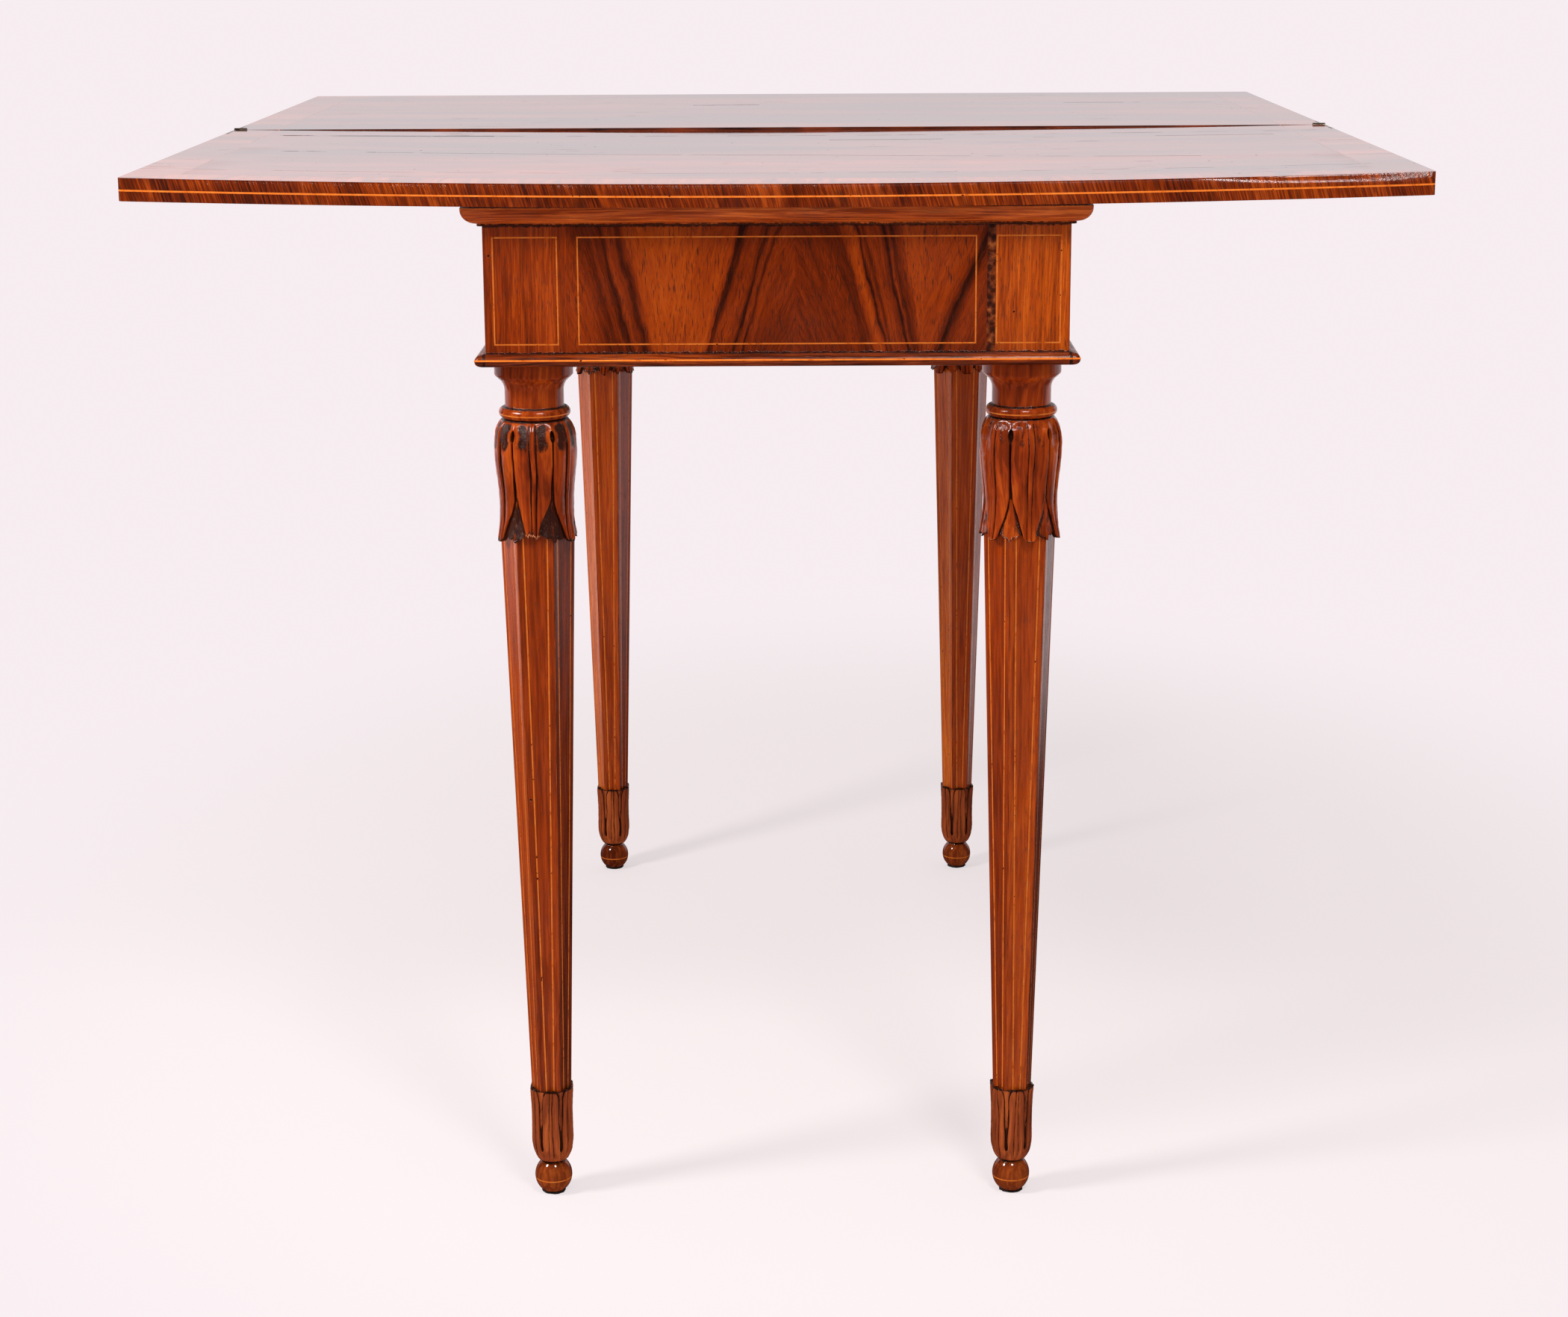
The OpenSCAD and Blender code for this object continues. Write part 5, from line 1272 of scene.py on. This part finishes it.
def carveCapital(leg, seed):
    s = capitalShape
    rng = random.Random(seed)
    turned = capitalOutline()
    drops = np.array(bellDrops())
    outline = turned + [(float(bellRadius(d)), s["bellTop"] - d) for d in drops]
    firstBell = len(turned)
    lipRow = len(outline)
    outline += [(28.0, 505.4), (26.0, 509.5), (24.0, 515.05), (0, 515.1)]   # the lip, fitted below
    piece, rows, columns = lathe("capital" + camel(leg), outline, 6 * s["columns"])
    leaf, column, edgeIndex, radius, height = leafGrid(s, rows, columns, outline)
    absColumn = np.abs(column)
    edgeAt = edgeColumn(s)
    half = math.radians(30) * s["arcRadius"]
    degrees = columns * 360.0 / (6 * s["columns"])
    recess = np.zeros(len(rows))
    inTurned = rows < firstBell
    ringTop = s["ringUp"] + s["ringRound"] + 0.1
    joint = np.minimum(np.abs(height - ringTop), np.abs(height - s["bellTop"] + 0.1))
    recess[inTurned] = np.maximum(1 - joint[inTurned] / 1.1, 0)
    recess[inTurned] += 0.9 * (height[inTurned] > s["collarTop"] - 0.3)

    # Rows below the ring, with the lip's rows following the last one
    share = np.where(inTurned, 0, np.interp(rows, np.arange(firstBell, lipRow), drops / s["length"]))
    ends = np.full(len(rows), s["length"])
    tipShort = np.array([rng.uniform(-s["tipUneven"], 0.0) for tip in range(6)])
    ends += tipShort[leaf]
    second = absColumn > edgeAt + 1
    secondTable = np.array([0.0] * (edgeAt + 2) + list(s["secondEnds"]))
    jag = np.array([rng.uniform(-s["jag"], s["jag"]) for edge in range(12)])
    jagged = jag[edgeIndex] * (absColumn < s["columns"] // 2)
    ends = np.where(second, secondTable[absColumn] + jagged, ends)
    broken = s["brokenLeaf"].get(leg)
    short = (leaf == broken) & ~second
    if broken is not None:
        ends[short] = np.array(s["brokenEnds"])[absColumn[short]] + 0.5 * np.sign(column[short])
    down = share * ends

    # Where each column runs
    uneven = wave(rng, 12)
    sway = wave(rng, 6)
    opened = smoothStep(down, *s["opens"])
    edge = bellHalf(down * s["length"] / np.where(second, s["length"], np.maximum(ends, 84)))
    wider, further = s["edgeUneven"]
    edge = half - (half - edge) * (1 + wider * opened * waveAt(uneven, edgeIndex, share))
    edge = edge + further * opened * waveAt(uneven, edgeIndex, share * 2.3)
    edge = np.minimum(edge, half - 0.3)
    ribTop, ribTip = s["rib"]
    rib = np.minimum(ribTop + (ribTip - ribTop) * share, 0.5 * edge)
    drift = s["sway"] * waveAt(sway, leaf, share) * smoothStep(share, 0.02, 0.3)
    onFace, onFloor, bellDegrees = layLeaves(s, leaf, column, rib, edge, drift)

    # How deep the carving goes
    start = smoothStep(down, *s["starts"])
    upper = 1 - smoothStep(down, 15, s["hollowTo"])
    hollow = s["hollow"] * upper * np.sin(np.pi * onFace ** 0.8) ** 1.2
    shoulderFold = s["fold"] * (1 - upper) * (1 - smoothStep(onFace, 0, 0.6))
    crevice = s["crevice"] * np.exp(-onFace / 0.09) * (1 - 0.35 * share)
    rolled = s["roll"] * smoothStep(onFace, 0.84, 1.0)
    main = start * (hollow + shoulderFold + crevice) + opened * rolled
    proud = -s["ribProud"] * start * (absColumn < ribColumn) * (1 - 0.3 * share)
    foot = s["ribFoot"] * start * (absColumn == ribColumn)
    main = np.where(absColumn <= ribColumn, proud + foot, main)
    cut = smoothStep(down, *s["cut"])
    inEye = np.clip(1 - np.abs(down - s["eyeDown"]) / s["eyeHalfHeight"], 0, 1) > 0
    slotFloor = np.where(inEye, s["eyeDepth"], s["slotDepth"])
    spread = smoothStep(down, s["splitDown"] - 10, s["splitDown"] + 8)
    fan = s["secondMiddle"] + (s["secondSide"] - s["secondMiddle"]) * (1 - smoothStep(onFloor, 0, 0.35))
    groove, ridge = s["fan"]
    fan = fan + groove * np.exp(-((onFloor - 0.8) / 0.08) ** 2) - ridge * smoothStep(onFloor, 0.85, 1)
    floor = cut * (slotFloor * (1 - spread) + fan * spread)
    depth = np.where(absColumn > edgeAt, floor, main)
    bellHeight = s["bellTop"] - down
    (coarse, coarseSize), (fine, fineSize) = s["skin"]
    skin = coarse * lumps(bellDegrees, bellHeight, coarseSize, seed)
    skin = skin + fine * lumps(bellDegrees, bellHeight, fineSize, seed + 9) * (0.4 + upper)
    depth = depth + skin * smoothStep(down, 1, 6)
    bell = bellRadius(np.minimum(down, s["length"])) - depth
    fitted = shaftRadius(bellDegrees, np.minimum(bellHeight, shaftShape["top"])) + s["shaftRoom"]
    bell = np.where(bellHeight < shaftShape["top"] + 2, np.maximum(bell, fitted), bell)

    # How dark its dirt is
    face = (absColumn > ribColumn) & (absColumn < edgeAt)
    deepHollow = start * upper * np.sin(np.pi * onFace ** 0.8) * face
    wallDark = cut * (absColumn > edgeAt) * np.where(down < s["splitDown"], 1.0,
                                                     np.exp(-onFloor / 0.3) * 0.9 + 0.30)
    creviceDark = start * np.exp(-onFace / 0.07) * face * 0.85
    tipDark = smoothStep(share, 0.93, 1.0) * 0.35 + smoothStep(share, 0.985, 1.0) * 0.3
    bellRecess = np.maximum.reduce([deepHollow * 0.5, wallDark, creviceDark, tipDark,
                                    0.8 * (1 - smoothStep(down, 0.3, 2.0))])

    inBell = (rows >= firstBell) & (rows < lipRow)
    radius[inBell] = bell[inBell]
    height[inBell] = bellHeight[inBell]
    degrees[~inTurned] = bellDegrees[~inTurned]
    recess[inBell] = bellRecess[inBell] * s["darker"].get(leg, 1.0)
    if broken is not None:
        recess[inBell & short & (share > 0.985)] = -1.2   # bare wood at the break

    # The lip turns in and rises to the shaft
    close = shaftRadius(bellDegrees, shaftShape["top"] - 3) + 0.15
    lip = rows == lipRow
    radius[lip] = np.maximum(bell[lip] - s["thick"], close[lip])
    height[lip] = bellHeight[lip] + 0.3
    under = rows == lipRow + 1
    radius[under] = close[under] + 0.3 * np.maximum(bell[under] - s["thick"] - close[under], 0)
    height[under] = np.minimum(bellHeight[under] + 5, shaftShape["top"] - 0.1)
    inner = rows == lipRow + 2
    radius[inner] = close[inner]
    recess[rows >= lipRow] = 0.9
    setOnLeg(piece, leg, radius, degrees, height, recess)
    finishLegPart(piece, wood["carvedWalnut"], 50, "capital_" + leg)


# Foot cup: six upright leaves, closed at the foot and open at the rim, with tongues between them.
# In mm, as heights above the cup's foot unless they are foot and top.
cupShape = {
    "columns": 24, "lobes": (0.2, 0.45, 0.7, 0.88), "floors": (0.5,),
    "foot": 26.0, "top": 86.0, "footRadius": 8.5, "belly": 15.75, "bellyUp": 18.5,
    "waist": 15.4, "rim": 16.7, "arcRadius": 16.0,
    "gapFrom": 9.3, "eyeUp": 13.0, "gapHalf": 1.4, "gapHighHalf": 2.35, "tipFrom": 49.0,
    "rib": (1.4, 0.5), "ribProud": 0.12, "crevice": 0.75,
    "slotDepth": 2.3, "tongueSide": 1.7, "tongueMiddle": 0.8, "thick": 1.3, "shaftRoom": 0.3,
    "starts": (1.5, 7), "shows": (18, 34),   # heights over which the carving and the tongues appear
    "ragged": (-1.2, 0.3), "raggedShare": 0.9, "tongueShort": 0.8, "edgeUneven": 0.32, "sway": 0.7,
    "fold": 0.35, "hollow": 0.25, "roll": 0.4, "ribFoot": 0.1, "skin": 0.16, "knobs": 0.75,
}


def cupRadius(up):
    s = cupShape
    rise = np.clip(up / s["bellyUp"], 0, 1)
    low = s["footRadius"] + (s["belly"] - s["footRadius"]) * np.sqrt(np.clip(1 - (1 - rise) ** 2, 0, 1))
    tall = s["top"] - s["foot"] - s["bellyUp"]
    t = np.clip((up - s["bellyUp"]) / tall, 0, 1)
    high = s["belly"] - (s["belly"] - s["waist"]) * np.sin(np.pi * t) + (s["rim"] - s["belly"]) * t ** 2
    return np.where(up < s["bellyUp"], low, high)


def carveCup(leg, seed):
    s = cupShape
    rng = random.Random(seed)
    length = s["top"] - s["foot"]
    ups = np.array([0.2, 0.6, 1.2, 2, 3, 4.2, 5.5, 7, 8.4, 9.2, 9.5, 10, 10.7, 11.6, 12.6, 13.8]
                   + list(np.arange(15, 48, 1.2)) + list(np.arange(48.6, 57, 0.9))
                   + [57.3, 58, 58.6, 59.1, 59.5, 59.8, 60])
    outline = [(0, s["foot"]), (7.6, s["foot"])]
    firstRow = len(outline)
    outline += [(float(cupRadius(u)), s["foot"] + u) for u in ups]
    rimRow = len(outline)
    outline += [(15.4, 86.3), (15.0, 83.0), (14.8, 79.95), (0, 79.9)]   # the rim, fitted below
    piece, rows, columns = lathe("footCup" + camel(leg), outline, 6 * s["columns"])
    leaf, column, edgeIndex, radius, height = leafGrid(s, rows, columns, outline)
    absColumn = np.abs(column)
    edgeAt = edgeColumn(s)
    half = math.radians(30) * s["arcRadius"]
    share = np.interp(rows, np.arange(firstRow, rimRow), ups / length)
    ragged = np.array([rng.uniform(*s["ragged"]) for spot in range(6 * s["columns"])])
    ends = length - s["tongueShort"] * (absColumn > edgeAt + 1) + s["raggedShare"] * ragged[columns]
    up = share * ends

    uneven = wave(rng, 12)
    sway = wave(rng, 6)
    opened = smoothStep(up, s["gapFrom"], s["gapFrom"] + 0.6)
    belowEye = (s["eyeUp"] - np.minimum(up, s["eyeUp"])) / (s["eyeUp"] - s["gapFrom"])
    gap = s["gapHalf"] + (s["gapHighHalf"] - s["gapHalf"]) * smoothStep(up, 18, 40)
    gap = gap + 0.25 * np.exp(-((up - s["eyeUp"]) / 3) ** 2)
    edge = half - np.maximum(gap * np.sqrt(np.clip(1 - belowEye ** 2, 0, 1)), 0.3)
    edge = edge + s["edgeUneven"] * smoothStep(up, 12, 24) * waveAt(uneven, edgeIndex, share)
    tip = np.clip((up - s["tipFrom"]) / (length - s["tipFrom"] + 0.3), 0, 1)
    edge = edge * np.sqrt(np.clip(1 - tip ** 2.2, 0.02, 1))
    edge = np.minimum(edge, half - 0.3)
    ribLow, ribHigh = s["rib"]
    rib = np.minimum(ribLow + (ribHigh - ribLow) * smoothStep(share, 0, 0.9), 0.45 * edge)
    drift = s["sway"] * waveAt(sway, leaf, share) * smoothStep(share, 0.1, 0.5)
    onFace, onFloor, degrees = layLeaves(s, leaf, column, rib, edge, drift)

    start = smoothStep(up, *s["starts"])
    crevice = s["crevice"] * np.exp(-onFace / 0.15)
    fold = s["fold"] * (1 - smoothStep(onFace, 0, 0.5)) + s["hollow"] * np.sin(np.pi * onFace) ** 2
    rolled = s["roll"] * smoothStep(onFace, 0.8, 1)
    main = start * (crevice + fold + rolled)
    proud = -s["ribProud"] * start * (absColumn < ribColumn)
    main = np.where(absColumn <= ribColumn, proud + s["ribFoot"] * (absColumn == ribColumn), main)
    shown = smoothStep(up, *s["shows"])
    beside = 1 - smoothStep(onFloor, 0.1, 0.6)
    tongueDepth = s["tongueMiddle"] + (s["tongueSide"] - s["tongueMiddle"]) * beside
    floor = opened * (s["slotDepth"] * (1 - shown) + tongueDepth * shown)
    depth = np.where(absColumn > edgeAt, floor, main)
    skin = lumps(degrees, height, 2.5, seed + 40) * s["skin"]
    crust = np.maximum(smoothStep(up, 57.2, 59.4), 1 - smoothStep(up, 0.6, 2.6))
    knobs = lumps(degrees, height, 0.9, seed + 70) * s["knobs"] * crust
    depth = depth + skin * start - knobs
    cup = cupRadius(up) - depth
    cupHeight = s["foot"] + up
    fitted = shaftRadius(degrees, np.maximum(cupHeight, shaftShape["foot"])) + s["shaftRoom"]
    cup = np.where(cupHeight > shaftShape["foot"] - 1, np.maximum(cup, fitted), cup)
    face = (absColumn > ribColumn) & (absColumn < edgeAt)
    dark = np.maximum.reduce([
        opened * (absColumn > edgeAt) * (1 - 0.62 * shown * smoothStep(onFloor, 0, 0.5)),
        start * np.exp(-onFace / 0.12) * face * 0.7,
        1.05 * crust])

    body = (rows >= firstRow) & (rows < rimRow)
    radius[body] = cup[body]
    height[body] = cupHeight[body]
    recess = np.where(body, dark, 1.0)
    close = shaftRadius(degrees, shaftShape["foot"] + 2) + 0.12
    rim = rows == rimRow
    radius[rim] = np.maximum(cup[rim] - s["thick"], close[rim])
    height[rim] = cupHeight[rim] - 0.1
    for step in (1, 2):
        inner = rows == rimRow + step
        radius[inner] = close[inner]
    setOnLeg(piece, leg, radius, degrees, height, recess)
    finishLegPart(piece, wood["carvedCup"], 50, "foot_cup_" + leg)


# Ball and the pad below it, in mm
ballShape = {
    "round": 15.2, "middleRadius": -1.2, "middleUp": 13.5, "foot": 1.5, "top": 26.0,
    "stringUp": 12.0, "stringHalf": 0.5, "stringDepth": 0.8,
    "columns": 96, "rows": 44,
    "padRadius": 9.0, "padTop": 1.5, "padColumns": 72,
}


def turnBall(leg):
    s = ballShape

    def skin(z):
        return s["middleRadius"] + math.sqrt(s["round"] ** 2 - (z - s["middleUp"]) ** 2)

    # Even steps of angle keep the ball's poles as smooth as its middle
    first = math.asin((s["foot"] - s["middleUp"]) / s["round"])
    last = math.asin((s["top"] - s["middleUp"]) / s["round"])
    turns = [first + (last - first) * number / s["rows"] for number in range(s["rows"] + 1)]
    heights = [s["middleUp"] + s["round"] * math.sin(turn) for turn in turns]
    outline = [(0, s["foot"])]
    groove = False
    for z in heights:
        if abs(z - s["stringUp"]) > s["stringHalf"] + 0.12:
            if z > s["stringUp"] and not groove:
                low, high = s["stringUp"] - s["stringHalf"], s["stringUp"] + s["stringHalf"]
                outline += [(skin(low), low), (skin(low) - s["stringDepth"], low + 0.05),
                            (skin(high) - s["stringDepth"], high - 0.05), (skin(high), high)]
                groove = True
            outline.append((skin(z), z))
    outline.append((0, s["top"]))
    piece, rows, columns = lathe("ballFoot" + camel(leg), outline, s["columns"])
    points = np.array(outline)
    height = points[rows, 1]
    recess = np.maximum(1 - (s["top"] - height) / 2.2, 0) + np.maximum(1 - (height - s["foot"]) / 1.0, 0)
    setOnLeg(piece, leg, points[rows, 0], columns * 360.0 / s["columns"], height, recess)
    finishLegPart(piece, wood["ballWalnut"], 40, "ball_foot_" + leg)


def makePad(leg, seed):
    # A thin ragged disc under the ball
    s = ballShape
    outline = [(0, 0), (s["padRadius"] - 0.8, 0), (s["padRadius"] - 0.15, 0.15), (s["padRadius"], 0.6),
               (s["padRadius"] - 0.1, 1.1), (s["padRadius"] - 0.6, s["padTop"]), (0, s["padTop"])]
    piece, rows, columns = lathe("footPad" + camel(leg), outline, s["padColumns"])
    points = np.array(outline)
    rng = random.Random(seed)
    ragged = np.array([rng.uniform(-0.45, 0.35) for spot in range(s["padColumns"])])
    ragged = (ragged + np.roll(ragged, 1) + np.roll(ragged, -1)) / 2
    radius = points[rows, 0] + ragged[columns] * (points[rows, 0] > 1)
    setOnLeg(piece, leg, radius, columns * 360.0 / s["padColumns"], points[rows, 1])
    finishLegPart(piece, felt, 60)
    return piece


pads = []
for number, leg in enumerate(legNames):
    carveCapital(leg, 11 + number)
    carveCup(leg, 31 + number)
    turnBall(leg)
    pads.append(makePad(leg, 51 + number))
    print("carved", leg, "turned by", round(legTurn[leg], 2))
for pad in pads:
    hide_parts("foot_pads")


# Nodes that keep their CAD shape
def keepNode(name, material, rounding=0.0):
    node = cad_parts[name]
    node.data.materials.clear()
    node.data.materials.append(material)
    if rounding:
        weld = node.modifiers.new("weld", "WELD")
        weld.merge_threshold = weldReach
        flatten = node.modifiers.new("flatten", "DECIMATE")
        flatten.decimate_type = "DISSOLVE"
        flatten.angle_limit = math.radians(0.3)
        bevel = node.modifiers.new("soften", "BEVEL")
        bevel.width = rounding * mm
        bevel.segments = 2
        bevel.limit_method = "ANGLE"
        bevel.angle_limit = math.radians(30)


keptNodes = [    # the last is the rounding in mm
    (wood["agedString"], ("frame_stringing", "leg_stringing"), 0),
    (wood["burrVeneer"], ("veneer_patch",), 0),
    (wood["innerOak"], ("stop_peg", "well_board", "pivot_rail", "glue_blocks", "leg_dowels"), 0.6),
    (brass, ("fixed_hinge_screws", "folding_hinge_screws"), 0.25),
    (iron, ("hinge_pins", "pivot_stud", "pivot_screws", "pivot_washer", "pivot_nut"), 0.2),
]
for material, names, rounding in keptNodes:
    for name in names:
        keepNode(name, material, rounding)

knuckle = {
    "height": 0.55,    # of the round knuckle's height above the leaves, worn flat
    "wall": 0.4,       # mm round the pin that keeps its shape
}
pinLow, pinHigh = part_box("hinge_pins")
pinUp = (pinLow.z + pinHigh.z) / 2
pinReach = (pinHigh.z - pinLow.z) / 2 + knuckle["wall"] * mm


def wearKnuckle(piece):
    for vertex in piece.data.vertices:
        spot = vertex.co
        if spot.z > leafTop and math.hypot(spot.y, spot.z - pinUp) > pinReach:
            spot.z = leafTop + (spot.z - leafTop) * knuckle["height"]


for which, body in (("fixed", "swivelling_top"), ("folding", "folding_top")):
    for side in ("left", "right"):
        wearKnuckle(dress(which + "_hinge_plate_" + side, which + side.title() + "Hinge", body,
                          [brass]))
print("hinges and inner parts dressed")


# Studio: pale floor, plain world and two lamps in front
studio = {
    "pale": (0.93, 0.85, 0.88),
    "white": (0.965, 0.90, 0.91),
    "lit": 0.37,            # share of the floor near the table that takes shadows
    "plain": 0.85,          # the floor's brightness for diffuse rays
    "floorFront": -2.3, "floorBack": 9.0, "floorSide": 7.0,
    "patch": (0.1, 0.25), "patchSize": (0.95, 1.25),   # m, the whiter patch below the table
    "fill": 0.55,           # what diffuse rays find
    "dim": 0.035,           # what mirrored rays find in the room
    "paperAway": 2.8, "paperHalf": 3.9, "paperTop": 1.9, "paperFoot": -0.1,
    "lamps": [
        {"name": "leftLamp", "from": (-0.70, -0.36, 0.62), "away": 2.4, "size": 0.55, "power": 38},
        {"name": "rightLamp", "from": (0.20, -0.62, 0.76), "away": 2.6, "size": 0.55, "power": 24},
    ],
    "lampColour": (1.0, 0.97, 0.95),
    "aim": (0, -0.2, 0.45),
}


def seenRays(tree):
    rays = put(tree, "LightPath").outputs
    mirrored = calc(tree, "MAXIMUM", rays["Is Glossy Ray"], rays["Is Transmission Ray"])
    return rays["Is Camera Ray"], mirrored


def addWorld():
    world = bpy.data.worlds.new("studioWorld")
    bpy.context.scene.world = world
    world.use_nodes = True
    tree = world.node_tree
    camera, mirrored = seenRays(tree)
    level = pick(tree, camera, pick(tree, mirrored, studio["fill"], studio["dim"]), 1.0)
    feed(tree, tree.nodes["Background"].inputs, {"Strength": level, "Color": (*studio["pale"], 1)})


def addSheet(name, size, place, tilt=0):
    clearSelection()
    bpy.ops.mesh.primitive_plane_add(size=1, location=place, rotation=(math.radians(tilt), 0, 0))
    sheet = bpy.context.object
    sheet.name = name
    sheet.scale = (*size, 1)
    material, tree, shader = startMaterial(name + "Finish")
    tree.nodes.remove(shader)
    sheet.data.materials.append(material)
    where = split(tree, put(tree, "NewGeometry").outputs["Position"])
    return sheet, tree, where, tree.nodes["Material Output"].inputs


def addPaper():
    # The pale backdrop, for mirrored rays alone: its brightness falls off softly to the sides
    tall = studio["paperTop"] - studio["paperFoot"]
    paper, tree, where, out = addSheet(
        "studioPaper", (2 * studio["paperHalf"], tall),
        (0, studio["paperAway"], studio["paperFoot"] + tall / 2), 90)
    aside = calc(tree, "ABSOLUTE", where[0])
    level = remap(tree, aside, studio["paperHalf"], studio["paperHalf"] - 0.8)
    rise = remap(tree, where[2], 0.84, 1.20, 0.85, 1.15)
    glow = put(tree, "Emission", {"Color": (*studio["pale"], 1),
                                  "Strength": calc(tree, "MULTIPLY", level, rise)})
    feed(tree, out, {"Surface": glow.outputs[0]})
    paper.visible_camera = False
    paper.visible_diffuse = False
    paper.visible_shadow = False


def addFloor():
    deep = studio["floorBack"] - studio["floorFront"]
    floor, tree, where, out = addSheet(
        "studioFloor", (2 * studio["floorSide"], deep), (0, studio["floorFront"] + deep / 2, 0))
    x, y = [calc(tree, "DIVIDE", calc(tree, "SUBTRACT", where[axis], studio["patch"][axis]),
                 studio["patchSize"][axis]) for axis in (0, 1)]
    away = calc(tree, "SQRT", calc(tree, "ADD", calc(tree, "MULTIPLY", x, x), calc(tree, "MULTIPLY", y, y)))
    near = remap(tree, away, 1.15, 0.45)
    camera, mirrored = seenRays(tree)
    # Mirrored rays find the floor pale only behind the table and at its right, so that the fronts
    # keep their depth
    back = remap(tree, where[1], 0.4, 1.1, 0.05, 0.9)
    right = calc(tree, "MULTIPLY", remap(tree, where[0], 1.0, 1.35), remap(tree, where[1], -0.4, 0.1))
    back = calc(tree, "MAXIMUM", back, calc(tree, "MULTIPLY", right, 0.45))
    shown = calc(tree, "MAXIMUM", camera, calc(tree, "MULTIPLY", mirrored, back))
    paper = blendColours(tree, near, (*studio["pale"], 1), studio["white"])
    steady = calc(tree, "MULTIPLY_ADD", near, -studio["lit"], 1.0)
    glow = put(tree, "Emission", {"Color": paper, "Strength": calc(tree, "MULTIPLY", shown, steady)})
    share = calc(tree, "MULTIPLY", calc(tree, "MULTIPLY", near, studio["lit"]), shown)
    plain = pick(tree, calc(tree, "MAXIMUM", camera, mirrored), studio["plain"], share)
    lit = put(tree, "BsdfDiffuse", {"Color": brighten(tree, paper, plain)})
    both = put(tree, "AddShader", {0: glow.outputs[0], 1: lit.outputs[0]})
    feed(tree, out, {"Surface": both.outputs[0]})


def addLamps():
    aim = Vector(studio["aim"])
    for lamp in studio["lamps"]:
        clearSelection()
        where = aim + Vector(lamp["from"]).normalized() * lamp["away"]
        bpy.ops.object.light_add(type="AREA", location=where)
        light = bpy.context.object
        light.name = lamp["name"]
        light.data.shape = "DISK"
        light.data.size = lamp["size"]
        light.data.energy = lamp["power"]
        light.data.color = studio["lampColour"]
        light.rotation_euler = (aim - where).to_track_quat("-Z", "Y").to_euler()


bpy.context.scene.view_settings.view_transform = "Standard"
addCamera()
addWorld()
addPaper()
addFloor()
addLamps()
print("studio set")
